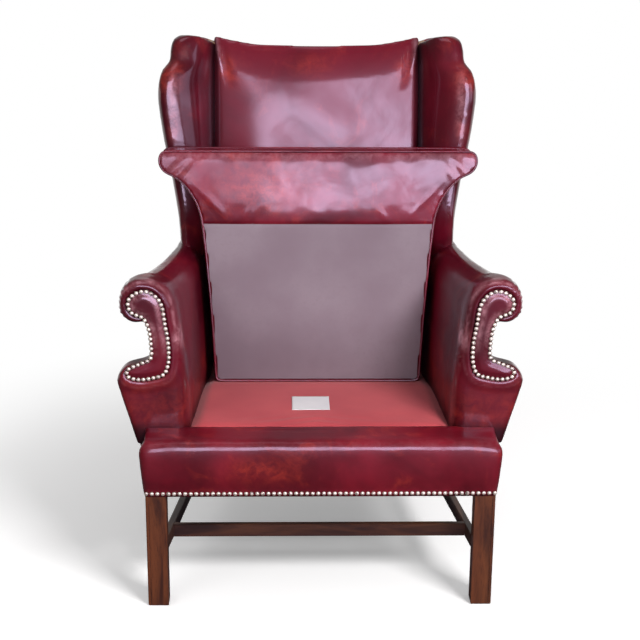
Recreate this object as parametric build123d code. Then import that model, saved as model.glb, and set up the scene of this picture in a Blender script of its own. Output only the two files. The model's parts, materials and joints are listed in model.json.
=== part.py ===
"""Wing chair with scrolled arms, square legs and a loose T-shaped cushion.

Sizes are in millimetres, +Z up, +X to the viewer's right and -Y towards the viewer. The chair is
drawn with y = 0 at the front faces of its front legs, and is moved at the end so that the origin
lies under the middle of it, on the floor. The cushion stands on its back edge and leans on the
wings, with its underside to the viewer.
"""
import math
import os

from build123d import *

# Stance, which the rest follows
FRONT_WIDTH = 750.0             # across the outer faces of the front legs
BACK_WIDTH = 604.0              # across the outer faces of the back legs
BACK_LEG_Y = 604.0              # front face of the back legs where the rails meet them
LIP_HEIGHT = 386.0
BACK_RISE = 764.0               # wings' tops above the lip
WING_TOP = LIP_HEIGHT + BACK_RISE
FRONT_HALF = FRONT_WIDTH / 2
BACK_HALF = BACK_WIDTH / 2
OVERRUN = 40.0                  # how far a cutting shape passes what it cuts

# Front legs
LEG_SIDE = 44.5
LEG_BEAD = 6.0                  # bead down the outer front corner
LEG_QUIRK = 1.6                 # groove beside the bead
LEG_QUIRK_DEPTH = 1.4
LEG_CHAMFER = 5.0               # inner back corner
FOOT_EASE = 2.0

# Back legs and posts, sawn in one piece
BACK_LEG_WIDTH = 40.0
BACK_LEG_DEPTH = 46.0
FOOT_RAKE = 62.0                # foot behind the leg's front face at the rails
BACK_FOOT_Y = BACK_LEG_Y + FOOT_RAKE
BACK_FOOT_DEPTH = 36.0
CREST_DROP = 33.0               # crest's middle below the wings' tops
CREST_MIDDLE = WING_TOP - CREST_DROP
POST_DROP = 1.0                 # post's end below the crest's middle
POST_TOP = CREST_MIDDLE - POST_DROP
POST_RAKE = 120.0               # post's top behind the leg's front face at the rails
POST_TOP_Y = BACK_LEG_Y + POST_RAKE
POST_TOP_DEPTH = 36.0

# Seat rails
RAIL_HEIGHT = 74.0
LIP_PAD = 46.0                  # leather and stuffing over the front rail
RAIL_TOP = LIP_HEIGHT - LIP_PAD
RAIL_BOTTOM = RAIL_TOP - RAIL_HEIGHT
COVER_DROP = 4.0                # leather below the rails
COVER_BOTTOM = RAIL_BOTTOM - COVER_DROP
RAIL_THICK = 30.0
RAIL_SETBACK = 2.0              # side rails behind the legs' outer faces
BACK_RAIL_INSET = 14.0
TENON_LENGTH = 20.0
TENON_THICK = 10.0
TENON_SHOULDER = 10.0           # above and below a rail's tenon
BLOCK_LEG = 60.0                # corner block, along each rail
BLOCK_DROP = 12.0               # corner block below the rail's top
BLOCK_HEIGHT = 45.0

# Stretchers
STRETCHER_BOTTOM = 119.0
STRETCHER_HEIGHT = 29.0
STRETCHER_TOP = STRETCHER_BOTTOM + STRETCHER_HEIGHT
STRETCHER_THICK = 15.0
CROSS_Y = 97.0                  # front face of the cross stretcher
CROSS_THICK = 14.0
STRETCHER_TENON = 12.0
STRETCHER_SHOULDER = 3.0
STRETCHER_EASE = 1.5
BACK_STRETCHER_SETBACK = 44.0   # behind the back legs' front faces at the rails
BACK_STRETCHER_Y = BACK_LEG_Y + BACK_STRETCHER_SETBACK

# Crest rail and stay rail
CREST_DEPTH = 82.0              # crest rail's bottom below the crest's middle
CREST_BOTTOM = CREST_MIDDLE - CREST_DEPTH
CREST_PROUD = 2.0               # crest rail in front of the posts
CREST_FRONT = POST_TOP_Y - CREST_PROUD
CREST_THICK = 26.0
CREST_PAD = 12.0                # leather and stuffing over the crest rail
STAY_RISE = 60.0                # stay rail above the seat rails
STAY_BOTTOM = RAIL_TOP + STAY_RISE
STAY_HEIGHT = 45.0
STAY_SETBACK = 18.0
STAY_FRONT = BACK_LEG_Y + STAY_SETBACK
STAY_THICK = 28.0

# Crest line, from the middle out to the wing's front corner
CREST_RISE = 32.0
CREST_INSET = 30.0              # crest line's ends inside the front legs' outer faces
CREST_REACH = FRONT_HALF - CREST_INSET
CREST_LINE_SHARES = ((0, 0), (0.38, 0.03), (0.72, 0.55), (0.81, 0.84), (0.92, 0.98), (1, 1))

# Webbing and hessian
WEB_THICK = 2.0
WEB_WIDTH = 50.0
WEB_PITCH = 88.0
WEB_COUNT = 5
WEB_END = 12.0                  # webbing's end short of a rail's outer face
WEB_FIRST_Y = 162.0
BACK_WEB_COUNT = 3
BACK_WEB_PITCH = 130.0
HESSIAN_THICK = 1.0
SEAT_BASE = RAIL_TOP + 2 * WEB_THICK + HESSIAN_THICK

# Deck
DECK_FRONT = 100.0              # seam between the leather lip and the deck cloth
DECK_FRONT_DROP = 2.0           # seam below the lip
DECK_FRONT_TOP = LIP_HEIGHT - DECK_FRONT_DROP
DECK_RISE = 2.0                 # crown above the lip
DECK_CROWN = LIP_HEIGHT + DECK_RISE
DECK_CROWN_Y = 235.0
REST_LEAD = 22.0                # the cushion's bearing starts in front of its underside
LEVEL_INSET = 104.0             # deck is level from here back, in front of the back legs
DECK_BACK_Y = BACK_LEG_Y - LEVEL_INSET
DECK_CLOTH = 1.5
SOFT_GAP = 0.3                  # clearance between soft pieces that rest on each other

# Leather lip and front rail cover
COVER_BACK = -3.0               # flat strip for the nails, in front of the legs
COVER_STRIP = 14.0
COVER_BULGE = -11.0
COVER_BULGE_SHARE = 0.55        # height of the fullest line between the strip and the nose
COVER_SIDE = 3.0                # beyond the legs at the bottom edge
LIP_SIDE = 8.5                  # beyond the legs at the lip
LIP_NOSE_DROP = 15.0
LIP_NOSE_HEIGHT = LIP_HEIGHT - LIP_NOSE_DROP
LIP_ROUND = 5.0                 # lip's front edge below its top
LIP_TOP_Y = 16.0
COVER_CORNER = 11.0

# Scrolled arm, at its front, at the wing's seam and behind the back post
ARM_FRONT = 84.0
ARM_EDGE = 10.0                 # rounding of the arm's front edge
ARM_SEAM_LEAD = 124.0           # wing's seam in front of the back legs
ARM_SEAM = BACK_LEG_Y - ARM_SEAM_LEAD
ARM_REACH = 106.0               # arm's end behind the back legs' front faces
ARM_END = BACK_LEG_Y + ARM_REACH
ARM_RISES = (332.0, 295.0, 294.0)
ARM_TOP = [LIP_HEIGHT + rise for rise in ARM_RISES]
ARM_INSIDE = 94.0               # inner face's foot inside the front legs' outer faces
ARM_OVERHANG = 58.5             # scroll beyond the front legs' outer faces
ARM_END_INSIDE = 54.5           # the same at the back legs
ARM_END_OVERHANG = 5.0
ARM_INNER_SHARE = 0.716         # how far the inner face has drawn in at the wing's seam
ARM_OUTER_SHARE = 0.739
ARM_INNER_FRONT = FRONT_HALF - ARM_INSIDE
ARM_INNER_END = BACK_HALF - ARM_END_INSIDE
ARM_OUTER_FRONT = FRONT_HALF + ARM_OVERHANG
ARM_OUTER_END = BACK_HALF + ARM_END_OVERHANG
ARM_INNER = (ARM_INNER_FRONT, ARM_INNER_FRONT + (ARM_INNER_END - ARM_INNER_FRONT) * ARM_INNER_SHARE,
             ARM_INNER_END)
ARM_OUTER = (ARM_OUTER_FRONT, ARM_OUTER_FRONT + (ARM_OUTER_END - ARM_OUTER_FRONT) * ARM_OUTER_SHARE,
             ARM_OUTER_END)
ARM_LEAN = (87.0, 46.0, 34.0)
ARM_SCROLL = (72.5, 13.0, 2.0)
ARM_INNER_SHARES = ((0, 0), (0.03, 0.28), (0.08, 0.45), (0.16, 0.61), (0.22, 0.73), (0.31, 0.86),
                    (0.52, 0.945))
ARM_ROLL_SHARES = ((0.52, 0.99), (0.23, 0.941), (0.13, 0.872), (0.17, 0.805), (0.465, 0.752), (0.77, 0.739))
ARM_SIDE_SHARES = ((0.87, 0.685), (0.92, 0.613), (0.9, 0.544), (0.576, 0.509), (0.243, 0.472),
                   (0, 0.405), (0.09, 0.32), (0.326, 0.163), (0.56, 0))
ARM_FACETS = (10, 12, 16)       # along the inner face, the roll and the outside
PANEL_THICK = 4.0               # leather and wadding of the outside panels

# Arm facing and its nails
FACING_THICK = 4.7
FACING_MARGIN = 5.5             # facing beyond the line of nails
NAIL_LOOP_SHARES = ((0.807, 0.896), (0.689, 0.936), (0.557, 0.941), (0.433, 0.909), (0.361, 0.858),
                    (0.321, 0.743), (0.282, 0.624), (0.289, 0.51), (0.354, 0.445), (0.525, 0.421),
                    (0.721, 0.413), (0.852, 0.431), (0.866, 0.466), (0.689, 0.507), (0.54, 0.537),
                    (0.524, 0.638), (0.563, 0.74), (0.63, 0.788), (0.774, 0.815), (0.82, 0.853))
LOOP_FACETS = 72
NAIL_HEAD = 9.4
NAIL_CROWN = 3.2
NAIL_SLOPE = 35.0               # degrees that a head's sides lean in
NAIL_SIDES = 6
ARM_NAIL_PITCH = 10.7
FRONT_NAIL_PITCH = 11.8
FRONT_NAIL_END = 3.0            # last nail's centre inside the leg's outer face
FRONT_NAIL_RISE = 7.0           # above the cover's bottom edge
FRONT_NAIL_Z = COVER_BOTTOM + FRONT_NAIL_RISE

# Arm frame
ARM_POST_GAP = 8.0              # arm padding in front of its scroll board
ARM_POST_THICK = 25.0
ARM_POST_TRIM = 6.0             # scroll board inside the line of nails
STEM_INSET = 16.0               # board's stem inside the front leg's outer face
STEM_WIDTH = 28.0
KNEE_SHARE = 0.47               # height of the stem's end, as a share of the arm's height
ARM_RAIL_DROP = 31.0            # rail's underside below the arm's top at the wing's seam
ARM_RAIL_Z = ARM_TOP[1] - ARM_RAIL_DROP
ARM_RAIL_THICK = 22.0
ARM_RAIL_INSIDE = 59.0          # rail's front end beyond the inner face's foot
ARM_RAIL_OUTSIDE = 37.5         # and inside the scroll
ARM_RAIL_STEP = 8.0             # rail's back end beyond the wing post's foot
ARM_RAIL_WIDTH = 30.0

# Wing frame
WING_POST_LEAD = 34.0           # in front of the back legs
WING_POST_Y = BACK_LEG_Y - WING_POST_LEAD
WING_POST_DEPTH = 30.0
WING_POST_WIDTH = 26.0
WING_POST_DROP = 100.0          # post's end below the wing's top
WING_POST_TOP = WING_TOP - WING_POST_DROP
WING_POST_INSET = 38.4          # foot inside the side rail's line
WING_POST_TOP_INSET = 68.0      # top inside the front legs' outer faces
WING_POST_TOP_X = FRONT_HALF - WING_POST_TOP_INSET
WING_POST_RAKE = 26.0
WING_POST_TOP_Y = WING_POST_Y + WING_POST_RAKE
WING_RAIL_HEIGHT = 36.0
WING_RAIL_THICK = 24.0

# Wing, by height, half width and setback of its front edge
WING_BOTTOM = ARM_TOP[1]
WING_INSET = 6.0                # widest line inside the front legs' outer faces
WING_HALF = FRONT_HALF - WING_INSET
WING_LEAD = 64.0                # front edge before the back legs
WING_FRONT = BACK_LEG_Y - WING_LEAD
WING_SETBACK = 100.0
WING_ROLL = 64.0                # thickness of the rolled front edge
WING_NOSE = 26.0                # depth of the rolled edge
WING_SEAM_INSET = 55.0          # seam inside the back legs' outer faces
WING_SEAM_X = BACK_HALF - WING_SEAM_INSET
WING_FACETS = (5, 6)            # across the inner face and the rolled edge
WING_SWELL = 5.0                # padding's swell on the inner face
WING_EDGE_SHARES = ((-0.075, 0.883, -0.62, 0.74), (0, 0.883, -0.62, 0.76), (0.051, 0.892, -0.32, 0.8),
                    (0.126, 0.905, 0, 0.86), (0.255, 0.93, 0.2, 0.92), (0.362, 0.949, 0.23, 0.96),
                    (0.469, 0.967, 0.23, 1), (0.608, 0.992, 0.1, 1), (0.709, 1, 0.05, 1),
                    (0.784, 0.992, 0.11, 1), (0.837, 0.976, 0.34, 1), (0.876, 0.935, 0.66, 0.95),
                    (0.931, 0.927, 0.72, 0.95), (0.979, 0.905, 0.84, 0.9), (1, 0.862, 1.02, 0.75))

# Inside back
PAD_LOW_RISE = 80.0             # low point of the pad's side edge, above the seat rails
PAD_LOW_THICK = 49.0            # and in front of the back legs
PAD_TOP_THICK = 12.0            # side edge in front of the posts at the crest
BACK_FACE_LOW = (RAIL_TOP + PAD_LOW_RISE, BACK_LEG_Y - PAD_LOW_THICK)
BACK_FACE_HIGH = (CREST_MIDDLE, POST_TOP_Y - PAD_TOP_THICK)
BACK_FACETS = 10
BACK_CROWN = 25.0
BACK_CREST_CROWN = 12.0
BACK_PAD_SHARES = (0, 0.13, 0.36, 0.66, 0.88, 1)

# Loose cushion
CUSHION_LEAD = 232.0            # underside's back edge before the back legs, as it stands
CUSHION_Y = BACK_LEG_Y - CUSHION_LEAD
DECK_REST_Y = CUSHION_Y - REST_LEAD
CUSHION_SINK = 3.0              # that edge below the lip
CUSHION_Z = LIP_HEIGHT - CUSHION_SINK
CUSHION_LEAN = 8.0              # degrees
CUSHION_LENGTH = 540.0
CUSHION_INSET = 11.5            # ears inside the front legs' outer faces
CUSHION_HALF = FRONT_HALF - CUSHION_INSET
CUSHION_THICK = 110.0
CUSHION_CORNER = 20.0           # rounding of the outline's corners
CUSHION_WAIST = 5.0             # how far the boxing is drawn in
CUSHION_CROWN = 17.0            # use face
CUSHION_BASE_CROWN = 7.0
CUSHION_BAND = 371.0            # leather band of the underside starts here
CUSHION_SKIN = 4.0
WELT_DIAMETER = 5.2
WELT_SIDES = 6
CURVE_FACETS = 4                # along each curve of the outline
CORNER_FACETS = 3
# Half outline of the T, as shares of its half width and its length, from the back edge forwards
SIDE_SHARES = ((0.659, 0), (0.69, 0.348), (0.737, 0.687))
EAR_SHARES = ((0.913, 0.889), (1, 0.955), (0.972, 1))
CROWN_SHARES = ((1, 0), (0.93, 0.48), (0.78, 0.8), (0.45, 1))


def block(low, high):
    """Box between two opposite corners."""
    size = [top - bottom for bottom, top in zip(low, high)]
    middle = [(top + bottom) / 2 for bottom, top in zip(low, high)]
    return Pos(*middle) * Box(*size)


def plan_prism(points, bottom, top):
    """Upright prism over an outline of (x, y) points."""
    return Pos(0, 0, bottom) * extrude(make_face(Polyline(*points, close=True)), amount=top - bottom)


def side_prism(points, left, right):
    """Prism along X over an outline of (y, z) points."""
    outline = Polyline(*[(left, y, z) for y, z in points], close=True)
    return extrude(make_face(outline), amount=right - left, dir=(1, 0, 0))


def front_prism(face, front, back):
    """Prism along Y over a face drawn with x across and y up."""
    return Pos(0, back, 0) * extrude(Plane.XZ * face, amount=back - front)


def ruled(sections):
    """Solid through closed sections, straight between each pair."""
    return loft(sections, ruled=True)


def between(low, high, share):
    """Value at a share of the way from low to high."""
    return low + (high - low) * share


def cut(shape, tools):
    """Shape with every tool taken out of it."""
    for tool in tools:
        shape = shape - tool
    return shape


def largest(shape):
    """The shape without the chips that a cut leaves."""
    return max(shape.solids(), key=lambda solid: solid.volume)


def mirrored(shape):
    """The same shape on the chair's left side."""
    return mirror(shape, about=Plane.YZ)


def facets(line, count):
    """Points at even shares along a line."""
    return [line @ (number / count) for number in range(count + 1)]


def taper(y, front_half):
    """Half width at depth y of a line that starts at front_half and runs along the side rail."""
    return front_half - (FRONT_HALF - BACK_HALF) * (y - LEG_SIDE) / (BACK_LEG_Y - LEG_SIDE)


def rear_line(z):
    """Depth of the back posts' rear face at a height above the seat rails."""
    low = BACK_LEG_Y + BACK_LEG_DEPTH
    return low + (POST_TOP_Y + POST_TOP_DEPTH - low) * (z - SEAT_BASE) / (POST_TOP - SEAT_BASE)


def face_edge(z):
    """Depth of the inside back's side edge at a height."""
    share = (z - BACK_FACE_LOW[0]) / (BACK_FACE_HIGH[0] - BACK_FACE_LOW[0])
    return between(BACK_FACE_LOW[1], BACK_FACE_HIGH[1], share)


def behind_back():
    """Everything behind the rear faces of the posts."""
    far = rear_line(WING_TOP) + 2 * OVERRUN
    top = WING_TOP + OVERRUN
    low = BACK_LEG_Y + BACK_LEG_DEPTH
    points = [(low, 0), (low, SEAT_BASE), (rear_line(top), top), (far, top), (far, 0)]
    return side_prism(points, -ARM_OUTER[0] - OVERRUN, ARM_OUTER[0] + OVERRUN)


def above_crest():
    """Everything above the crest line, seen from the front."""
    half = [(CREST_REACH * x, CREST_MIDDLE + CREST_RISE * z) for x, z in CREST_LINE_SHARES]
    line = [(-x, z) for x, z in reversed(half[1:])] + half
    top = WING_TOP + 2 * OVERRUN
    reach = CREST_REACH + OVERRUN
    end = CREST_MIDDLE + CREST_RISE
    outer = Polyline(line[-1], (reach, end), (reach, top), (-reach, top), (-reach, end), line[0])
    face = make_face([Spline(*line), outer])
    return front_prism(face, BACK_FACE_LOW[1], rear_line(WING_TOP) + 2 * OVERRUN)


def front_leg():
    """Right front leg, beaded down its outer front corner."""
    leg = block((FRONT_HALF - LEG_SIDE, 0, 0), (FRONT_HALF, LEG_SIDE, RAIL_TOP))
    upright = leg.edges().filter_by(Axis.Z)
    corner = upright.sort_by(lambda edge: edge.center().X - edge.center().Y)[-1]
    leg = fillet(corner, LEG_BEAD / 2)
    inner = leg.edges().filter_by(Axis.Z).sort_by(lambda edge: edge.center().Y - edge.center().X)[-1]
    leg = chamfer(inner, LEG_CHAMFER)
    leg = chamfer(leg.edges().group_by(Axis.Z)[0], FOOT_EASE)
    bead_x = FRONT_HALF - LEG_BEAD
    front_groove = block((bead_x - LEG_QUIRK, -OVERRUN, -OVERRUN), (bead_x, LEG_QUIRK_DEPTH, COVER_BOTTOM))
    side_groove = block((FRONT_HALF - LEG_QUIRK_DEPTH, LEG_BEAD, -OVERRUN),
                        (FRONT_HALF + OVERRUN, LEG_BEAD + LEG_QUIRK, COVER_BOTTOM))
    return leg - front_groove - side_groove


def back_leg():
    """Right back leg and post."""
    points = [(BACK_FOOT_Y, 0), (BACK_LEG_Y, COVER_BOTTOM), (BACK_LEG_Y, SEAT_BASE), (POST_TOP_Y, POST_TOP),
              (POST_TOP_Y + POST_TOP_DEPTH, POST_TOP), (BACK_LEG_Y + BACK_LEG_DEPTH, SEAT_BASE),
              (BACK_LEG_Y + BACK_LEG_DEPTH, COVER_BOTTOM), (BACK_FOOT_Y + BACK_FOOT_DEPTH, 0)]
    leg = side_prism(points, BACK_HALF - BACK_LEG_WIDTH, BACK_HALF)
    return chamfer(leg.edges().group_by(Axis.Z)[0], FOOT_EASE)


def front_seat_rail():
    """Front rail, tenoned into both front legs."""
    reach = FRONT_HALF - LEG_SIDE
    rail = block((-reach, 0, RAIL_BOTTOM), (reach, RAIL_THICK, RAIL_TOP))
    middle = RAIL_THICK / 2
    tenon = block((-reach - TENON_LENGTH, middle - TENON_THICK / 2, RAIL_BOTTOM + TENON_SHOULDER),
                  (reach + TENON_LENGTH, middle + TENON_THICK / 2, RAIL_TOP - TENON_SHOULDER))
    return rail + tenon


def back_seat_rail():
    """Back rail, tenoned into both back legs."""
    reach = BACK_HALF - BACK_LEG_WIDTH
    front = BACK_LEG_Y + BACK_RAIL_INSET
    rail = block((-reach, front, RAIL_BOTTOM), (reach, front + RAIL_THICK, RAIL_TOP))
    middle = front + RAIL_THICK / 2
    tenon = block((-reach - TENON_LENGTH, middle - TENON_THICK / 2, RAIL_BOTTOM + TENON_SHOULDER),
                  (reach + TENON_LENGTH, middle + TENON_THICK / 2, RAIL_TOP - TENON_SHOULDER))
    return rail + tenon


def tapered_bar(outer, thick, front, back, bottom, top):
    """Bar along the side of the seat, its outer face starting at half width outer."""
    corners = [(taper(front, outer), front), (taper(back, outer), back),
               (taper(back, outer - thick), back), (taper(front, outer - thick), front)]
    return plan_prism(corners, bottom, top)


def side_seat_rail():
    """Right side rail, tenoned into the front and the back leg."""
    outer = FRONT_HALF - RAIL_SETBACK
    rail = tapered_bar(outer, RAIL_THICK, LEG_SIDE, BACK_LEG_Y, RAIL_BOTTOM, RAIL_TOP)
    cheek = (RAIL_THICK - TENON_THICK) / 2
    tenon = tapered_bar(outer - cheek, TENON_THICK, LEG_SIDE - TENON_LENGTH, BACK_LEG_Y + TENON_LENGTH,
                        RAIL_BOTTOM + TENON_SHOULDER, RAIL_TOP - TENON_SHOULDER)
    return rail + tenon


def side_stretcher(leg):
    """Right side stretcher, scribed to the raked back leg."""
    outer = FRONT_HALF - LEG_SIDE + STRETCHER_THICK
    reach = between(BACK_FOOT_Y, BACK_LEG_Y, STRETCHER_TOP / COVER_BOTTOM) + STRETCHER_TENON
    bar = tapered_bar(outer, STRETCHER_THICK, LEG_SIDE, reach, STRETCHER_BOTTOM, STRETCHER_TOP) - leg
    top_edges = bar.edges().group_by(Axis.Z)[-1].sort_by(SortBy.LENGTH)[-2:]
    bar = chamfer(top_edges, STRETCHER_EASE)
    tenon = tapered_bar(outer - STRETCHER_SHOULDER, STRETCHER_THICK - 2 * STRETCHER_SHOULDER,
                        LEG_SIDE - STRETCHER_TENON, reach, STRETCHER_BOTTOM + STRETCHER_SHOULDER,
                        STRETCHER_TOP - STRETCHER_SHOULDER)
    return bar + tenon


def cross_stretcher():
    """Cross stretcher, set behind the front legs and tenoned into the side stretchers."""
    inner = FRONT_HALF - LEG_SIDE
    back = CROSS_Y + CROSS_THICK
    corners = [(taper(CROSS_Y, inner), CROSS_Y), (taper(back, inner), back)]
    corners += [(-x, y) for x, y in reversed(corners)]
    bar = plan_prism(corners, STRETCHER_BOTTOM, STRETCHER_TOP)
    bar = chamfer(bar.edges().group_by(Axis.Z)[-1].sort_by(SortBy.LENGTH)[-2:], STRETCHER_EASE)
    reach = taper(CROSS_Y, inner) + STRETCHER_THICK / 2
    tenon = block((-reach, CROSS_Y + STRETCHER_SHOULDER, STRETCHER_BOTTOM + STRETCHER_SHOULDER),
                  (reach, back - STRETCHER_SHOULDER, STRETCHER_TOP - STRETCHER_SHOULDER))
    return bar + tenon


def back_stretcher():
    """Stretcher between the back legs."""
    reach = BACK_HALF - BACK_LEG_WIDTH
    back = BACK_STRETCHER_Y + CROSS_THICK
    bar = block((-reach, BACK_STRETCHER_Y, STRETCHER_BOTTOM), (reach, back, STRETCHER_TOP))
    reach += STRETCHER_TENON
    tenon = block((-reach, BACK_STRETCHER_Y + STRETCHER_SHOULDER, STRETCHER_BOTTOM + STRETCHER_SHOULDER),
                  (reach, back - STRETCHER_SHOULDER, STRETCHER_TOP - STRETCHER_SHOULDER))
    return bar + tenon


def corner_blocks(legs):
    """Four blocks glued inside the corners of the seat frame."""
    top = RAIL_TOP - BLOCK_DROP
    inner = FRONT_HALF - RAIL_SETBACK - RAIL_THICK
    front = RAIL_THICK
    back = BACK_LEG_Y + BACK_RAIL_INSET
    front_block = plan_prism([(taper(front, inner), front), (taper(front, inner) - BLOCK_LEG, front),
                              (taper(front + BLOCK_LEG, inner), front + BLOCK_LEG)], top - BLOCK_HEIGHT, top)
    back_block = plan_prism([(taper(back, inner), back), (taper(back, inner) - BLOCK_LEG, back),
                             (taper(back - BLOCK_LEG, inner), back - BLOCK_LEG)], top - BLOCK_HEIGHT, top)
    right = [cut(front_block, legs), cut(back_block, legs)]
    return right + [mirrored(piece) for piece in right]


def crest_rail():
    """Top rail between the posts, its top edge following the crest line."""
    reach = BACK_HALF - BACK_LEG_WIDTH
    rail = block((-reach, CREST_FRONT, CREST_BOTTOM), (reach, CREST_FRONT + CREST_THICK, WING_TOP))
    return rail - Pos(0, 0, -CREST_PAD) * above_crest()


def stay_rail():
    """Lower rail of the back, which the inside back is tacked to."""
    reach = BACK_HALF - BACK_LEG_WIDTH
    top = STAY_BOTTOM + STAY_HEIGHT
    return block((-reach, STAY_FRONT, STAY_BOTTOM), (reach, STAY_FRONT + STAY_THICK, top))


def seat_webbing():
    """Strips from front to back, with the cross strips over them."""
    strips = []
    middle = (WEB_COUNT - 1) / 2
    level = RAIL_TOP + WEB_THICK
    back = BACK_LEG_Y + BACK_RAIL_INSET + RAIL_THICK - WEB_END
    for number in range(WEB_COUNT):
        x = (number - middle) * WEB_PITCH
        strips.append(block((x - WEB_WIDTH / 2, WEB_END, RAIL_TOP), (x + WEB_WIDTH / 2, back, level)))
    for number in range(WEB_COUNT):
        front = WEB_FIRST_Y + number * WEB_PITCH - WEB_WIDTH / 2
        reach = taper(front + WEB_WIDTH, FRONT_HALF - RAIL_SETBACK) - WEB_END
        strips.append(block((-reach, front, level), (reach, front + WEB_WIDTH, level + WEB_THICK)))
    return strips


def back_webbing():
    """Upright strips from the stay rail to the crest rail."""
    stay_top = STAY_BOTTOM + STAY_HEIGHT
    end = CREST_BOTTOM + STAY_HEIGHT
    front = [(STAY_FRONT - WEB_THICK, STAY_BOTTOM), (STAY_FRONT - WEB_THICK, stay_top),
             (CREST_FRONT - WEB_THICK, CREST_BOTTOM), (CREST_FRONT - WEB_THICK, end)]
    back = [(y + WEB_THICK, z) for y, z in reversed(front)]
    middle = (BACK_WEB_COUNT - 1) / 2
    strips = []
    for number in range(BACK_WEB_COUNT):
        x = (number - middle) * BACK_WEB_PITCH
        strips.append(side_prism(front + back, x - WEB_WIDTH / 2, x + WEB_WIDTH / 2))
    return strips


def seat_plan(margin, front, back, bottom, top):
    """Slab with the seat's tapered plan."""
    half = FRONT_HALF - RAIL_SETBACK - margin
    corners = [(taper(front, half), front), (taper(back, half), back)]
    corners += [(-x, y) for x, y in reversed(corners)]
    return plan_prism(corners, bottom, top)


def arm_profile(station, y, trim=0, inset=0):
    """Closed section of the arm at depth y; trim draws the outside panel's face in."""
    inner, roll, side = arm_lines(station, y, trim, inset)
    return make_face([inner, roll, Line(roll @ 1, side @ 0), side, Line(side @ 1, inner @ 0)])


def arm_lines(station, y, trim, inset):
    """Faceted lines of the inner face, the roll and the outside at depth y."""
    lines = []
    for points, count in zip(arm_points(station, trim, inset), ARM_FACETS):
        curve = Spline(*[(x, y, z) for x, z in points])
        lines.append(Polyline(*facets(curve, count)))
    return lines


def arm_points(station, trim, inset):
    """Points of the inner face, the roll and the outside at one station, as (x, z)."""
    top = ARM_TOP[station] - inset
    inner = ARM_INNER[station] + inset
    outer = ARM_OUTER[station] - inset
    height = top - SEAT_BASE
    crest = (inner + ARM_LEAN[station], top)
    inside = [(inner + ARM_LEAN[station] * x, SEAT_BASE + height * z) for x, z in ARM_INNER_SHARES] + [crest]
    roll = [crest] + [(outer - ARM_SCROLL[station] * x, SEAT_BASE + height * z) for x, z in ARM_ROLL_SHARES]
    side = [(outer - ARM_SCROLL[station] * x - trim, SEAT_BASE + height * z) for x, z in ARM_SIDE_SHARES]
    return inside, roll, side


def arm_body(trim=0):
    """Right arm, from its front face to behind the back post."""
    sections = [arm_profile(0, ARM_FRONT, trim, ARM_EDGE), arm_profile(0, ARM_FRONT + ARM_EDGE, trim),
                arm_profile(1, ARM_SEAM, trim), arm_profile(2, ARM_END, trim)]
    return ruled(sections)


def outside_arm():
    """Leather panel on the arm's outside, from under the roll to the side rail."""
    sections = []
    for station, y in ((0, ARM_FRONT + ARM_EDGE), (1, ARM_SEAM), (2, ARM_END)):
        outer = arm_lines(station, y, SOFT_GAP, 0)[2]
        inner = arm_lines(station, y, PANEL_THICK, 0)[2]
        sections.append(make_face([outer, Line(outer @ 1, inner @ 1), inner, Line(inner @ 0, outer @ 0)]))
    return ruled(sections)


def nail_loop():
    """Closed line of the arm nails, drawn with x across and y up."""
    span = ARM_OUTER[0] - ARM_INNER[0]
    height = ARM_TOP[0] - SEAT_BASE
    points = [(ARM_INNER[0] + span * x, SEAT_BASE + height * z) for x, z in NAIL_LOOP_SHARES]
    return Spline(*points, periodic=True)


def scroll_face(margin):
    """Face inside the line of nails, widened by a margin."""
    ring = Wire([nail_loop()]).offset_2d(margin)
    return make_face(Polyline(*facets(ring, LOOP_FACETS)[1:], close=True))


def arm_facing():
    """Padded panel that closes the arm's front."""
    return front_prism(scroll_face(FACING_MARGIN), ARM_FRONT - FACING_THICK, ARM_FRONT - SOFT_GAP)


def arm_post():
    """Scroll board that the arm's front is stuffed over, standing on the side rail."""
    front = ARM_FRONT + ARM_POST_GAP
    back = front + ARM_POST_THICK
    board = front_prism(scroll_face(-ARM_POST_TRIM), front, back)
    outer = FRONT_HALF - STEM_INSET
    knee = between(SEAT_BASE, ARM_TOP[0], KNEE_SHARE)
    return board + block((outer - STEM_WIDTH, front, RAIL_TOP), (outer, back, knee))


def slanted_bar(low, high):
    """Bar between two upright or level rectangles given as lists of corners."""
    return ruled([make_face(Polyline(*low, close=True)), make_face(Polyline(*high, close=True))])


def arm_rail(posts):
    """Board under the roll, from the scroll board to the wing post."""
    ends = []
    front_y = ARM_FRONT + ARM_POST_GAP + ARM_POST_THICK
    back_y = WING_POST_Y + WING_POST_DEPTH / 2
    back_x = wing_post_foot() + ARM_RAIL_STEP
    top = ARM_RAIL_Z + ARM_RAIL_THICK
    for y, inner, outer in ((front_y, ARM_INNER[0] + ARM_RAIL_INSIDE, ARM_OUTER[0] - ARM_RAIL_OUTSIDE),
                            (back_y, back_x, back_x + ARM_RAIL_WIDTH)):
        ends.append([(inner, y, ARM_RAIL_Z), (outer, y, ARM_RAIL_Z), (outer, y, top), (inner, y, top)])
    return cut(slanted_bar(*ends), posts)


def wing_post_foot():
    """Inner side of the wing post's foot on the side rail."""
    return taper(WING_POST_Y, FRONT_HALF) - WING_POST_INSET


def wing_post():
    """Upright of the wing, standing on the side rail and leaning out."""
    ends = []
    foot = (wing_post_foot(), WING_POST_Y, RAIL_TOP)
    for x, y, z in (foot, (WING_POST_TOP_X, WING_POST_TOP_Y, WING_POST_TOP)):
        ends.append([(x, y, z), (x + WING_POST_WIDTH, y, z), (x + WING_POST_WIDTH, y + WING_POST_DEPTH, z),
                     (x, y + WING_POST_DEPTH, z)])
    return slanted_bar(*ends)


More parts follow.
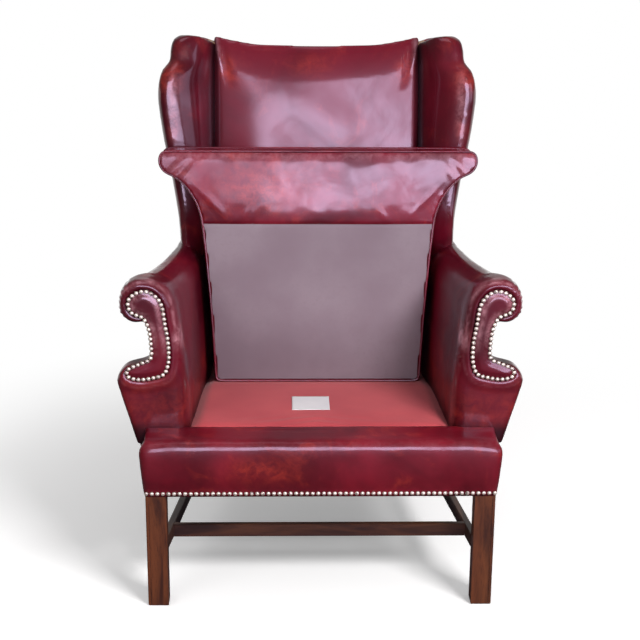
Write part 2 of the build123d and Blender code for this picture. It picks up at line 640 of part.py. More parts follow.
def wing_rail(leg):
    """Top rail of the wing, from its post back to the back post."""
    ends = []
    front_y = WING_POST_TOP_Y + WING_POST_DEPTH / 2
    low = WING_POST_TOP
    top = low + WING_RAIL_HEIGHT
    for y, x in ((front_y, WING_POST_TOP_X), (POST_TOP_Y, BACK_HALF - WING_RAIL_THICK)):
        outer = x + WING_RAIL_THICK
        ends.append([(x, y, low), (outer, y, low), (outer, y, top), (x, y, top)])
    return slanted_bar(*ends) - leg


def wing_stations():
    """Height, half width, front edge and roll of the wing at each of its sections."""
    stations = []
    for height, width, setback, roll in WING_EDGE_SHARES:
        stations.append((between(WING_BOTTOM, WING_TOP, height), WING_HALF * width,
                         WING_FRONT + WING_SETBACK * setback, WING_ROLL * roll))
    return stations


def wing_body():
    """Padded wing inside its outer panel: seam, swelling inner face, rolled front edge and outer face."""
    sections = []
    for z, half, front, roll in wing_stations():
        rear = rear_line(z) + OVERRUN
        seam = Vector(WING_SEAM_X, face_edge(z), z)
        inner = Vector(half - roll, front + WING_NOSE, z)
        nose = Vector(half - roll / 2, front, z)
        outer = Vector(half - PANEL_THICK, front + WING_NOSE, z)
        middle = (seam + inner) / 2 - Vector(WING_SWELL, WING_SWELL, 0)
        face = facets(ThreePointArc(seam, middle, inner), WING_FACETS[0])
        edge = facets(ThreePointArc(inner, nose, outer), WING_FACETS[1])
        rest = [Vector(BACK_HALF, rear, z), Vector(WING_SEAM_X, rear, z)]
        sections.append(make_face(Polyline(*face, *edge[1:], *rest, close=True)))
    return ruled(sections)


def outside_wing():
    """Leather panel on the wing's outer face."""
    sections = []
    for z, half, front, _ in wing_stations():
        rear = rear_line(z) + OVERRUN
        y = front + WING_NOSE
        corners = [(half, y, z), (BACK_HALF + PANEL_THICK, rear, z), (BACK_HALF + SOFT_GAP, rear, z),
                   (half - PANEL_THICK + SOFT_GAP, y, z)]
        sections.append(make_face(Polyline(*corners, close=True)))
    return ruled(sections)


def inside_back_body():
    """Padded inside back, crowned across, before its frame is taken out."""
    sections = []
    half = WING_SEAM_X - SOFT_GAP
    bottom = deck_rest(DECK_BACK_Y) + SOFT_GAP
    for share in BACK_PAD_SHARES:
        z = between(bottom, WING_TOP, share)
        edge = face_edge(z)
        crown = between(BACK_CROWN, BACK_CREST_CROWN, share)
        rear = rear_line(z) + OVERRUN
        front = facets(ThreePointArc((-half, edge, z), (0, edge - crown, z), (half, edge, z)), BACK_FACETS)
        sections.append(make_face(Polyline(*front, (half, rear, z), (-half, rear, z), close=True)))
    return ruled(sections)


def back_hollow():
    """Space behind the back webbing, below the crest."""
    far = rear_line(WING_TOP) + 2 * OVERRUN
    end = CREST_BOTTOM + STAY_HEIGHT
    front = STAY_FRONT - WEB_THICK
    top = CREST_FRONT - WEB_THICK
    points = [(front, 0), (front, STAY_BOTTOM + STAY_HEIGHT), (top, CREST_BOTTOM), (top, end), (far, end),
              (far, 0)]
    return side_prism(points, -BACK_HALF, BACK_HALF)


def outside_back():
    """Leather panel over the whole back, from the crest to under the seat rail."""
    low = BACK_LEG_Y + BACK_LEG_DEPTH
    top = WING_TOP
    line = [(low, COVER_BOTTOM), (low, SEAT_BASE), (rear_line(top), top)]
    back = [(y + PANEL_THICK, z) for y, z in reversed(line)]
    half = BACK_HALF + PANEL_THICK
    return side_prism(line + back, -half, half)


def seat_stuffing():
    """Stuffing of the seat, under the deck cloth."""
    return deck_slab(SEAT_BASE, DECK_CLOTH)


def deck_slab(bottom, drop):
    """Slab under the deck's crowned line lowered by drop."""
    front_top = (0, DECK_FRONT, DECK_FRONT_TOP - drop)
    crown = (0, DECK_CROWN_Y, DECK_CROWN - drop)
    rest = (0, DECK_REST_Y, deck_rest(DECK_REST_Y) - drop)
    back = (0, DECK_BACK_Y, deck_rest(DECK_BACK_Y) - drop)
    end_y = BACK_LEG_Y + BACK_RAIL_INSET
    edge = [ThreePointArc(front_top, crown, rest),
            Polyline(rest, back, (0, end_y, back[2]), (0, end_y, bottom), (0, DECK_FRONT, bottom), front_top)]
    half = ARM_INNER[0] + ARM_EDGE
    return Pos(-half, 0, 0) * extrude(make_face(edge), amount=2 * half, dir=(1, 0, 0))


def deck_rest(y):
    """Height of the deck where the cushion's back edge bears on it."""
    return CUSHION_Z - SOFT_GAP - (y - CUSHION_Y) * math.tan(math.radians(CUSHION_LEAN))


def front_border():
    """Leather lip and front rail cover, wrapped round the front corners."""
    strip_top = COVER_BOTTOM + COVER_STRIP
    foot = (0, COVER_BACK, COVER_BOTTOM)
    strip = (0, COVER_BACK, strip_top)
    nose = (0, COVER_BULGE, LIP_NOSE_HEIGHT - COVER_STRIP)
    top = (0, LIP_TOP_Y, LIP_HEIGHT)
    fullest = (0, COVER_BULGE, between(strip_top, LIP_NOSE_HEIGHT, COVER_BULGE_SHARE))
    back = DECK_FRONT - SOFT_GAP
    edge = [Line(foot, strip), ThreePointArc(strip, fullest, nose),
            ThreePointArc(nose, (0, COVER_BACK, LIP_HEIGHT - LIP_ROUND), top),
            Polyline(top, (0, back, DECK_FRONT_TOP), (0, back, COVER_BOTTOM), foot)]
    reach = FRONT_HALF + LIP_SIDE + OVERRUN
    body = Pos(-reach, 0, 0) * extrude(make_face(edge), amount=2 * reach, dir=(1, 0, 0))
    half = [(FRONT_HALF + COVER_SIDE, COVER_BOTTOM), (FRONT_HALF + LIP_SIDE, LIP_NOSE_HEIGHT),
            (FRONT_HALF + COVER_SIDE, LIP_HEIGHT)]
    front = [*half, *[(-x, z) for x, z in reversed(half)]]
    body = body & front_prism(make_face(Polyline(*front, close=True)), -OVERRUN, DECK_FRONT + OVERRUN)
    plan = block((-reach + OVERRUN, COVER_BULGE, 0), (reach - OVERRUN, DECK_FRONT + OVERRUN, WING_TOP))
    corners = plan.edges().filter_by(Axis.Z).group_by(Axis.Y)[0]
    body = body & fillet(corners, COVER_CORNER)
    well = block((-FRONT_HALF, 0, 0), (FRONT_HALF, DECK_FRONT + OVERRUN, SEAT_BASE))
    return body - well


def side_border():
    """Leather over the right side rail, from the lip to the back."""
    sections = []
    top = SEAT_BASE - SOFT_GAP
    for y in (DECK_FRONT, ARM_SEAM, ARM_END):
        rail = taper(y, FRONT_HALF)
        corners = [(rail, y, COVER_BOTTOM), (rail + COVER_SIDE, y, COVER_BOTTOM), (arm_base(y), y, top),
                   (rail, y, top)]
        sections.append(make_face(Polyline(*corners, close=True)))
    return ruled(sections)


def arm_base(y):
    """Half width of the arm's outer face where it meets the side rail."""
    station = 0 if y < ARM_SEAM else 1
    ends = ((ARM_FRONT + ARM_EDGE, ARM_SEAM), (ARM_SEAM, ARM_END))[station]
    foot_share = ARM_SIDE_SHARES[-1][0]
    low, high = [ARM_OUTER[station + k] - foot_share * ARM_SCROLL[station + k] for k in (0, 1)]
    return between(low, high, (y - ends[0]) / (ends[1] - ends[0]))


def dust_cover():
    """Thin cloth under the seat frame."""
    return seat_plan(RAIL_THICK / 2, RAIL_THICK / 2, BACK_LEG_Y + BACK_RAIL_INSET + RAIL_THICK / 2,
                     RAIL_BOTTOM - HESSIAN_THICK, RAIL_BOTTOM)


def nail_head():
    """One domed nail head, its flat back on the XZ plane and its crown towards -Y."""
    return Plane.XZ * extrude(RegularPolygon(NAIL_HEAD / 2, NAIL_SIDES), amount=NAIL_CROWN, taper=NAIL_SLOPE)


def front_rail_nails():
    """Row of nails along the bottom edge of the front rail cover."""
    end = FRONT_HALF - FRONT_NAIL_END
    count = round(2 * end / FRONT_NAIL_PITCH)
    head = nail_head()
    places = [between(-end, end, number / count) for number in range(count + 1)]
    return [Pos(x, COVER_BACK, FRONT_NAIL_Z) * head for x in places]


def arm_nails():
    """Nails round the right arm's facing."""
    loop = nail_loop()
    count = round(loop.length / ARM_NAIL_PITCH)
    places = [loop @ (number / count) for number in range(count)]
    head = nail_head()
    return [Pos(place.X, ARM_FRONT - FACING_THICK, place.Y) * head for place in places]


def cushion_outline(inset):
    """Closed T outline about its own middle, drawn in by an inset all round, in straight runs."""
    middle = CUSHION_LENGTH / 2
    edges = []
    for side in (1, -1):
        half = side * CUSHION_HALF
        sides, ear = [[(half * x, CUSHION_LENGTH * y - middle) for x, y in shares]
                      for shares in (SIDE_SHARES, EAR_SHARES)]
        flank = ThreePointArc(*sides)
        edges += [flank, TangentArc(sides[-1], ear[0], tangent=flank % 1), ThreePointArc(*ear)]
    side_edges = len(edges) // 2
    rear = Line(edges[side_edges] @ 0, edges[0] @ 0)
    front = Line(edges[side_edges - 1] @ 1, edges[-1] @ 1)
    outline = make_face([*edges, rear, front])
    joint = (edges[0] @ 1).Y
    corners = outline.vertices().filter_by(lambda corner: abs(corner.Y - joint) > CUSHION_CORNER)
    ring = fillet(corners, CUSHION_CORNER).face().outer_wire().offset_2d(-inset)
    return Wire(Polyline(*ring_points(ring), close=True).edges())


def ring_points(ring):
    """Points along a closed line, few on its curves and none between the ends of its straight runs."""
    edges = ring.order_edges()
    total = sum(edge.length for edge in edges)
    start = 0
    points = []
    for edge in edges:
        straight = edge.geom_type == GeomType.LINE
        corner = edge.length < 2 * CUSHION_CORNER
        count = 1 if straight else CORNER_FACETS if corner else CURVE_FACETS
        points += [ring @ ((start + edge.length * number / count) / total) for number in range(count)]
        start += edge.length
    return points


def cushion_body(inset):
    """Crowned cushion with drawn-in sides, its faces inset all round."""
    base = -inset
    use = -CUSHION_THICK + inset
    levels = [(base + CUSHION_BASE_CROWN * rise, share) for share, rise in reversed(CROWN_SHARES)]
    waist_share = 1 - CUSHION_WAIST / CUSHION_HALF
    levels.append(((base + use) / 2, waist_share))
    levels += [(use - CUSHION_CROWN * rise, share) for share, rise in CROWN_SHARES]
    outline = cushion_outline(WELT_DIAMETER / 2 + inset)
    middle = CUSHION_LENGTH / 2
    return ruled([Pos(0, middle, level) * make_face(scale(outline, share)) for level, share in levels])


def cushion_welt(level):
    """Piping round the cushion at one face."""
    outline = Pos(0, CUSHION_LENGTH / 2, level) * cushion_outline(WELT_DIAMETER / 2)
    section_plane = Plane(origin=outline @ 0, z_dir=outline % 0)
    section = section_plane * RegularPolygon(WELT_DIAMETER / 2, WELT_SIDES)
    return sweep(section, path=outline, transition=Transition.RIGHT)


def cushion_pieces():
    """The cushion's parts in its own plane: x across, y along its length, z out of the underside."""
    outer = cushion_body(0)
    base_welt = cushion_welt(0)
    top_welt = cushion_welt(-CUSHION_THICK)
    filling = cut(cushion_body(CUSHION_SKIN), [base_welt, top_welt])
    skin = cut(outer - filling, [base_welt, top_welt])
    far = CUSHION_LENGTH + OVERRUN
    wide = CUSHION_HALF + OVERRUN
    above = block((-wide, -OVERRUN, 0), (wide, far, OVERRUN))
    below = block((-wide, -OVERRUN, -CUSHION_THICK - OVERRUN), (wide, far, -CUSHION_THICK))
    cloth_side = block((-wide, -OVERRUN, 0), (wide, CUSHION_BAND, OVERRUN))
    base = skin & above
    return {
        "cushion_filling": filling,
        "cushion_top_cover": skin & below,
        "cushion_boxing": largest(skin - above - below),
        "cushion_base_cloth": base & cloth_side,
        "cushion_base_band": base - cloth_side,
        "cushion_top_welt": top_welt,
        "cushion_base_welt": base_welt,
    }


def cushion():
    """The cushion's parts where they stand."""
    lean = math.radians(CUSHION_LEAN)
    normal = (0, -math.cos(lean), math.sin(lean))
    stand = Plane(origin=(0, CUSHION_Y, CUSHION_Z), x_dir=(1, 0, 0), z_dir=normal)
    return {name: stand * piece for name, piece in cushion_pieces().items()}


def both(name, right):
    """A piece and its mirror image under their two names."""
    return {name + "_left": mirrored(right), name + "_right": right}


def frame_nodes():
    """Legs, stretchers, rails and posts, each mortised for what enters it."""
    leg = front_leg()
    rear = back_leg()
    front_rail = front_seat_rail()
    back_rail = back_seat_rail()
    side_rail = side_seat_rail()
    stretcher = side_stretcher(rear)
    cross = cross_stretcher()
    rear_stretcher = back_stretcher()
    post = arm_post()
    upright = wing_post()
    nodes = {
        **both("front_leg", cut(leg, [front_rail, side_rail, stretcher])),
        **both("back_leg", cut(rear, [back_rail, side_rail, stretcher, rear_stretcher])),
        **both("side_stretcher", stretcher - cross),
        "cross_stretcher": cross,
        "back_stretcher": rear_stretcher,
        "front_seat_rail": front_rail,
        "back_seat_rail": back_rail,
        **both("side_seat_rail", side_rail),
        **both("arm_post", post),
        **both("arm_rail", arm_rail([post, upright])),
        **both("wing_post", upright),
        **both("wing_rail", wing_rail(rear) - upright),
        "crest_rail": crest_rail(),
        "stay_rail": stay_rail(),
        "corner_blocks": corner_blocks([leg, rear]),
        "seat_webbing": seat_webbing(),
        "back_webbing": back_webbing(),
    }
    return nodes


def upholstery_nodes(frame):
    """Everything that is tacked over the frame."""
    post_names = ("arm_post", "wing_post", "back_leg")
    posts = [frame[name + side] for name in post_names for side in ("_right", "_left")]
    right_names = ("arm_post", "arm_rail", "wing_post", "wing_rail", "back_leg")
    right_frame = [frame[name + "_right"] for name in right_names]
    arm_form = arm_body()
    arms = [arm_form, mirrored(arm_form)]
    behind = behind_back()
    crest = above_crest()
    pad_frame = [frame["crest_rail"], frame["stay_rail"], frame["back_leg_right"], frame["back_leg_left"]]
    hollow = back_hollow()
    legs = [frame[name + side] for name in ("front_leg", "back_leg") for side in ("_left", "_right")]
    border = cut(front_border(), [*arms, frame["front_leg_right"], frame["front_leg_left"]])
    deck = deck_slab(SEAT_BASE, 0)
    stuffing = seat_stuffing()
    padded_arm = arm_body(PANEL_THICK + SOFT_GAP)
    hessian = seat_plan(WEB_END, WEB_END, BACK_LEG_Y, SEAT_BASE - HESSIAN_THICK, SEAT_BASE)
    return {
        "seat_hessian": cut(hessian, posts),
        "seat_stuffing": cut(stuffing, [*arms, *posts]),
        "deck_cover": cut(deck, [stuffing, *arms, *posts]),
        "front_border": border,
        **both("inside_arm", cut(padded_arm, [behind, frame["stay_rail"], *right_frame])),
        **both("outside_arm", cut(outside_arm(), [behind, frame["back_leg_right"]])),
        **both("side_border", cut(side_border(), [behind, frame["back_leg_right"]])),
        **both("arm_facing", arm_facing()),
        **both("inside_wing", cut(wing_body(), [arm_form, behind, crest, frame["crest_rail"], *right_frame])),
        **both("outside_wing", cut(outside_wing(), [arm_form, behind, crest])),
        "inside_back": cut(inside_back_body(), [behind, hollow, crest, *arms, *pad_frame]),
        "outside_back": outside_back() - crest,
        "dust_cover": cut(dust_cover(), legs),
        "front_rail_nails": front_rail_nails(),
        "arm_nails_right": arm_nails(),
        "arm_nails_left": [mirrored(nail) for nail in arm_nails()],
    }


def main():
    """Build every node, move the origin under the middle of the chair and write the files."""
    frame = frame_nodes()
    nodes = {**frame, **upholstery_nodes(frame), **cushion()}
    shapes = {}
    for name, shape in nodes.items():
        pieces = shape if isinstance(shape, list) else [shape]
        shapes[name] = Compound([solid for piece in pieces for solid in piece.solids()])
    bounds = Compound(list(shapes.values())).bounding_box()
    middle = (bounds.min.Y + bounds.max.Y) / 2
    os.makedirs("parts", exist_ok=True)
    for name, shape in shapes.items():
        export_step(Pos(0, -middle, 0) * shape, f"parts/{name}.step")
    print("moved back by", round(middle, 3))


if __name__ == "__main__":
    main()
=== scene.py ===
"""Dresses the wing chair: glazed oxblood leather over padding, brass nails, cloth deck and mahogany legs.

Every piece is modelled in metres with y = 0 at the front faces of the front legs, and is shifted into the
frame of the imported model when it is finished.
"""
from __future__ import annotations

import json
import logging
import math
from dataclasses import dataclass, field
from enum import Enum
from typing import Callable, Iterable, Sequence

import bmesh
import bpy
import numpy as np
from mathutils import Matrix, Vector, kdtree, noise

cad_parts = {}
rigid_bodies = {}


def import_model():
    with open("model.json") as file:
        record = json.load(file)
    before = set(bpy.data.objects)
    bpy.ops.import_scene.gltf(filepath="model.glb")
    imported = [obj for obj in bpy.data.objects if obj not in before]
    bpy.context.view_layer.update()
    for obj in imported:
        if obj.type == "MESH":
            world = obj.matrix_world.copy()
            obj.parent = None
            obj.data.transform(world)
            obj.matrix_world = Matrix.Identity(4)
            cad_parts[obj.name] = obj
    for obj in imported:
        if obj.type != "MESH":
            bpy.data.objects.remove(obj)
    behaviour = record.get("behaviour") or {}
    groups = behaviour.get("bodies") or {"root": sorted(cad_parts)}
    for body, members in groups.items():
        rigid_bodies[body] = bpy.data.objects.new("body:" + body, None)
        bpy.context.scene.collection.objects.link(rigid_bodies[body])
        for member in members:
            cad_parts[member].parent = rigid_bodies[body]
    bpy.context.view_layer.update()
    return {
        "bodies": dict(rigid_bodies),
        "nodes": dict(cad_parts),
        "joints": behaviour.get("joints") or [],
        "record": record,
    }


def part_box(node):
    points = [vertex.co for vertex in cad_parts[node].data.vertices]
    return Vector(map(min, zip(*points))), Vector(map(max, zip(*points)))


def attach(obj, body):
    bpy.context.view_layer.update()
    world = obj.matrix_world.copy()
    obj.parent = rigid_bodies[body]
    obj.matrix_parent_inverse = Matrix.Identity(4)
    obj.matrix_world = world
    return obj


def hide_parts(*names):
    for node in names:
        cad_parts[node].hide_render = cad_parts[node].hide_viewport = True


LOG = logging.getLogger("wing_chair")

Point = tuple[float, ...]
Array = np.ndarray


class Slot(str, Enum):
    """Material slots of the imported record."""

    LEATHER = "oxblood_leather"
    MAHOGANY = "mahogany"
    BEECH = "beech"
    PADDING = "padding"
    WEBBING = "webbing"
    DECK = "deck_cloth"
    DUST = "dust_cloth"
    LINING = "cushion_cloth"
    BRASS = "nail_brass"


class Body(str, Enum):
    """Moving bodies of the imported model."""

    CHAIR = "chair"
    CUSHION = "cushion"


class Side(Enum):
    """Side of the chair as its viewer sees it."""

    LEFT = -1
    RIGHT = 1

    @property
    def word(self) -> str:
        """The side's word in piece names."""
        return self.name.lower()


# ---------------------------------------------------------------------------------------------------------
# Lines and numbers


def smooth_line(points: Sequence[Point], count: int, closed: bool = False) -> Array:
    """Evenly spaced points on a smooth line through the given ones.

    Args:
        points: what the line passes through.
        count: how many points to give back.
        closed: whether the line returns to its start.

    Returns:
        An array of count rows.
    """
    knots = np.asarray(points, float)
    total = len(knots)
    steps = np.linspace(0, 1, 24, endpoint=False)[:, None]
    runs = []
    for start in range(total if closed else total - 1):
        if closed:
            before, here, there, after = (knots[(start + k) % total] for k in (-1, 0, 1, 2))
        else:
            here, there = knots[start], knots[start + 1]
            before = knots[start - 1] if start else 2 * here - there
            after = knots[start + 2] if start + 2 < total else 2 * there - here
        chords = [max(float(np.linalg.norm(b - a)) ** 0.5, 1e-9)
                  for a, b in ((before, here), (here, there), (there, after))]
        slope_here = ((here - before) / chords[0] - (there - before) / (chords[0] + chords[1])
                      + (there - here) / chords[1]) * chords[1]
        slope_there = ((there - here) / chords[1] - (after - here) / (chords[1] + chords[2])
                       + (after - there) / chords[2]) * chords[1]
        square, cube = steps ** 2, steps ** 3
        runs.append((2 * cube - 3 * square + 1) * here + (cube - 2 * square + steps) * slope_here
                    + (3 * square - 2 * cube) * there + (cube - square) * slope_there)
    runs.append(knots[:1] if closed else knots[-1:])
    return evenly(np.vstack(runs), count, closed)


def evenly(line: Array, count: int, closed: bool = False) -> Array:
    """Points at even distances along a polyline.

    Args:
        line: the polyline's points, with the first repeated at the end if it is closed.
        count: how many points to give back.
        closed: whether the end is left out, because it is the start again.

    Returns:
        An array of count rows.
    """
    lengths = np.concatenate([[0], np.cumsum(np.linalg.norm(np.diff(line, axis=0), axis=1))])
    places = np.linspace(0, lengths[-1], count, endpoint=not closed)
    return np.stack([np.interp(places, lengths, line[:, axis]) for axis in range(line.shape[1])], axis=1)


def arc_through(start: Point, middle: Point, end: Point, count: int) -> Array:
    """Points on the circular arc through three points in a plane.

    Args:
        start: first point.
        middle: a point on the arc.
        end: last point.
        count: how many points to give back.

    Returns:
        An array of count rows.
    """
    (ax, ay), (bx, by), (cx, cy) = start, middle, end
    twice = 2 * (ax * (by - cy) + bx * (cy - ay) + cx * (ay - by))
    ux = ((ax**2 + ay**2) * (by - cy) + (bx**2 + by**2) * (cy - ay) + (cx**2 + cy**2) * (ay - by)) / twice
    uy = ((ax**2 + ay**2) * (cx - bx) + (bx**2 + by**2) * (ax - cx) + (cx**2 + cy**2) * (bx - ax)) / twice
    first, mid, last = (math.atan2(y - uy, x - ux) for x, y in (start, middle, end))
    sweep = (last - first) % math.tau
    if (mid - first) % math.tau > sweep:
        sweep -= math.tau
    angles = first + np.linspace(0, sweep, count)
    radius = math.hypot(ax - ux, ay - uy)
    return np.stack([ux + radius * np.cos(angles), uy + radius * np.sin(angles)], axis=1)


def between(low: float, high: float, share: float) -> float:
    """Value at a share of the way from low to high."""
    return low + (high - low) * share


def ramp(values: Array, low: float, high: float) -> Array:
    """Smooth rise from 0 at low to 1 at high."""
    share = np.clip((values - low) / (high - low), 0, 1)
    return share * share * (3 - 2 * share)


def bell(values: Array, width: float) -> Array:
    """Bump of height 1 round zero, about as wide as its argument on each side."""
    return np.exp(-(values / width) ** 2)


def distance_to(line: Array, points: Array) -> Array:
    """Distance from each point to a polyline.

    Args:
        line: the polyline's points, dense enough that its vertices stand for it.
        points: one row per point.

    Returns:
        One distance per row of points.
    """
    tree = kdtree.KDTree(len(line))
    for number, place in enumerate(line):
        tree.insert((*place, 0.0)[:3], number)
    tree.balance()
    return np.array([tree.find((*point, 0.0)[:3])[2] for point in points])


def inside_loop(loop: Array, points: Array) -> Array:
    """Whether each point lies inside a closed plane polygon.

    Args:
        loop: corners of the polygon.
        points: one (x, y) row per point.

    Returns:
        One boolean per row of points.
    """
    result = np.zeros(len(points), bool)
    x, y = points[:, 0], points[:, 1]
    for (x0, y0), (x1, y1) in zip(loop, np.roll(loop, -1, axis=0)):
        if y0 == y1:
            continue
        crosses = (y0 > y) != (y1 > y)
        result ^= crosses & (x < (x1 - x0) * (y - y0) / (y1 - y0) + x0)
    return result


def soft_noise(points: Array, scale: float, seed: float) -> Array:
    """Smooth noise between about -1 and 1 at each point.

    Args:
        points: one row per point.
        scale: waves per metre.
        seed: shift that gives another pattern.

    Returns:
        One value per row of points.
    """
    return np.array([noise.noise(Vector(point) * scale + Vector((seed, -seed, seed / 2))) for point in points])


# ---------------------------------------------------------------------------------------------------------
# Meshes


def skin(sections: Array) -> bmesh.types.BMesh:
    """Closed tube through rings of points, with flat ends.

    Args:
        sections: array of rings, points and coordinates; every ring has the same number of points.

    Returns:
        A new bmesh.
    """
    rings, count, _ = sections.shape
    mesh = bmesh.new()
    bmesh.ops.create_grid(mesh, x_segments=count, y_segments=rings - 1, size=1)
    closed = np.concatenate([sections, sections[:, :1]], axis=1).reshape(-1, 3)
    for vert, place in zip(mesh.verts, closed):
        vert.co = place
    bmesh.ops.remove_doubles(mesh, verts=mesh.verts, dist=1e-6)
    bmesh.ops.holes_fill(mesh, edges=mesh.edges, sides=0)
    bmesh.ops.recalc_face_normals(mesh, faces=mesh.faces)
    return mesh


def prism(outline: Array, place: Callable[[Array, float], Array], low: float, high: float) -> bmesh.types.BMesh:
    """Solid over a plane outline.

    Args:
        outline: corners as (a, b) rows.
        place: turns (a, b) rows and a level into points in space.
        low: first level.
        high: last level.

    Returns:
        A new bmesh.
    """
    mesh = bmesh.new()
    base = mesh.faces.new([mesh.verts.new(point) for point in place(outline, low)])
    top = bmesh.ops.extrude_face_region(mesh, geom=[base], use_keep_orig=True)["geom"]
    moved = [part for part in top if isinstance(part, bmesh.types.BMVert)]
    step = place(outline[:1], high)[0] - place(outline[:1], low)[0]
    bmesh.ops.translate(mesh, vec=step, verts=moved)
    bmesh.ops.recalc_face_normals(mesh, faces=mesh.faces)
    return mesh


def new_object(name: str, mesh: bmesh.types.BMesh) -> bpy.types.Object:
    """Object with its mesh from a bmesh, which is freed."""
    data = bpy.data.meshes.new(name)
    mesh.to_mesh(data)
    mesh.free()
    piece = bpy.data.objects.new(name, data)
    bpy.context.scene.collection.objects.link(piece)
    return piece


def applied(piece: bpy.types.Object) -> bpy.types.Object:
    """The piece with its modifiers made part of its mesh."""
    bpy.context.view_layer.update()
    graph = bpy.context.evaluated_depsgraph_get()
    data = bpy.data.meshes.new_from_object(piece.evaluated_get(graph))
    old = piece.data
    piece.modifiers.clear()
    piece.data = data
    data.name = piece.name
    bpy.data.meshes.remove(old)
    return piece


def remeshed(piece: bpy.types.Object, voxel: float, smoothing: int) -> bpy.types.Object:
    """The piece as one even skin, with its edges rounded.

    Args:
        piece: a closed mesh, or several that overlap.
        voxel: size of the new faces.
        smoothing: rounds of smoothing.

    Returns:
        The same object.
    """
    modifier = piece.modifiers.new("even skin", "REMESH")
    modifier.mode = "VOXEL"
    modifier.voxel_size = voxel
    applied(piece)
    mesh = bmesh.new()
    mesh.from_mesh(piece.data)
    keep_largest(mesh)
    for _ in range(smoothing):
        bmesh.ops.smooth_vert(mesh, verts=mesh.verts, factor=0.5,
                              use_axis_x=True, use_axis_y=True, use_axis_z=True)
    mesh.to_mesh(piece.data)
    mesh.free()
    return piece


def keep_largest(mesh: bmesh.types.BMesh) -> None:
    """Removes every loose part of a mesh but the largest."""
    mesh.verts.ensure_lookup_table()
    seen: set[int] = set()
    parts: list[list[bmesh.types.BMVert]] = []
    for start in mesh.verts:
        if start.index in seen:
            continue
        seen.add(start.index)
        part, front = [start], [start]
        while front:
            vert = front.pop()
            for edge in vert.link_edges:
                other = edge.other_vert(vert)
                if other.index not in seen:
                    seen.add(other.index)
                    part.append(other)
                    front.append(other)
        parts.append(part)
    parts.sort(key=len)
    for part in parts[:-1]:
        bmesh.ops.delete(mesh, geom=part, context="VERTS")


def vertices(piece: bpy.types.Object) -> Array:
    """Places of a mesh's vertices."""
    places = np.empty(len(piece.data.vertices) * 3)
    piece.data.vertices.foreach_get("co", places)
    return places.reshape(-1, 3)


def normals(piece: bpy.types.Object) -> Array:
    """Directions of a mesh's vertices."""
    out = np.empty(len(piece.data.vertices) * 3)
    piece.data.vertex_normals.foreach_get("vector", out)
    return out.reshape(-1, 3)


def move_vertices(piece: bpy.types.Object, places: Array) -> None:
    """Puts a mesh's vertices at the given places."""
    piece.data.vertices.foreach_set("co", np.ascontiguousarray(places, np.float32).ravel())
    piece.data.update()


def paint(piece: bpy.types.Object, name: str, values: Array) -> None:
    """Stores one value per vertex for a material to read."""
    layer = piece.data.attributes.new(name, "FLOAT", "POINT")
    layer.data.foreach_set("value", np.clip(values, 0, 1).astype(np.float32))


def mirrored_copy(piece: bpy.types.Object, name: str) -> bpy.types.Object:
    """A copy of a piece on the other side of the chair."""
    mesh = bmesh.new()
    mesh.from_mesh(piece.data)
    bmesh.ops.scale(mesh, vec=(-1, 1, 1), verts=mesh.verts)
    bmesh.ops.reverse_faces(mesh, faces=mesh.faces)
    return new_object(name, mesh)


def inflated(piece: bpy.types.Object, pins: Array, pressure: float, cap: Array) -> bpy.types.Object:
    """Swells a closed skin as air under cloth would.

    Args:
        piece: an even skin.
        pins: how firmly each vertex is held, from 0 to 1.
        pressure: force of the padding on the cloth.
        cap: how far each vertex may move.

    Returns:
        The same object, without its cloth.
    """
    start = vertices(piece)
    group = piece.vertex_groups.new(name="pins")
    for level in np.unique(np.round(pins, 1)):
        if level > 0:
            group.add([int(k) for k in np.flatnonzero(np.round(pins, 1) == level)], float(level), "REPLACE")
    cloth = piece.modifiers.new("padding", "CLOTH")
    cloth.settings.quality = 4
    cloth.settings.mass = 0.4
    cloth.settings.tension_stiffness = 20
    cloth.settings.compression_stiffness = 20
    cloth.settings.bending_stiffness = 0.8
    cloth.settings.use_pressure = True
    cloth.settings.uniform_pressure_force = pressure
    cloth.settings.vertex_group_mass = "pins"
    cloth.settings.effector_weights.gravity = 0
    cloth.collision_settings.use_collision = False
    scene = bpy.context.scene
    for frame in range(1, 21):
        scene.frame_set(frame)
    graph = bpy.context.evaluated_depsgraph_get()
    data = bpy.data.meshes.new_from_object(piece.evaluated_get(graph))
    end = np.empty(len(data.vertices) * 3)
    data.vertices.foreach_get("co", end)
    bpy.data.meshes.remove(data)
    piece.modifiers.clear()
    piece.vertex_groups.clear()
    scene.frame_set(1)
    step = end.reshape(-1, 3) - start
    length = np.maximum(np.linalg.norm(step, axis=1), 1e-9)
    move_vertices(piece, start + step * np.minimum(1, cap / length)[:, None])
    return piece


# ---------------------------------------------------------------------------------------------------------
# Materials


class Shader:
    """A material's nodes, wired with short calls."""

    def __init__(self, name: str) -> None:
        """Starts a material with a bare Principled shader."""
        self.material = bpy.data.materials.new(name)
        self.material.use_nodes = True
        self.tree = self.material.node_tree
        self.shader = self.tree.nodes["Principled BSDF"]

    def node(self, kind: str, **inputs: object) -> bpy.types.Node:
        """A node with some of its inputs set or linked.

        Args:
            kind: the node's type name.
            inputs: socket names, with spaces as underscores, to numbers, colours or sockets.

        Returns:
            The new node.
        """
        return add_node(self.tree, kind, **inputs)

    def group(self, tree: bpy.types.NodeTree, **inputs: object) -> bpy.types.Node:
        """A placed node group with its inputs set or linked."""
        node = self.tree.nodes.new("ShaderNodeGroup")
        node.node_tree = tree
        wire(self.tree, node, inputs)
        return node

    def mix(self, share: object, low: object, high: object) -> bpy.types.NodeSocket:
        """Colour between two colours by a share."""
        return mix_colours(self.tree, share, low, high)

    def set(self, **inputs: object) -> None:
        """Sets or links inputs of the Principled shader."""
        wire(self.tree, self.shader, inputs)


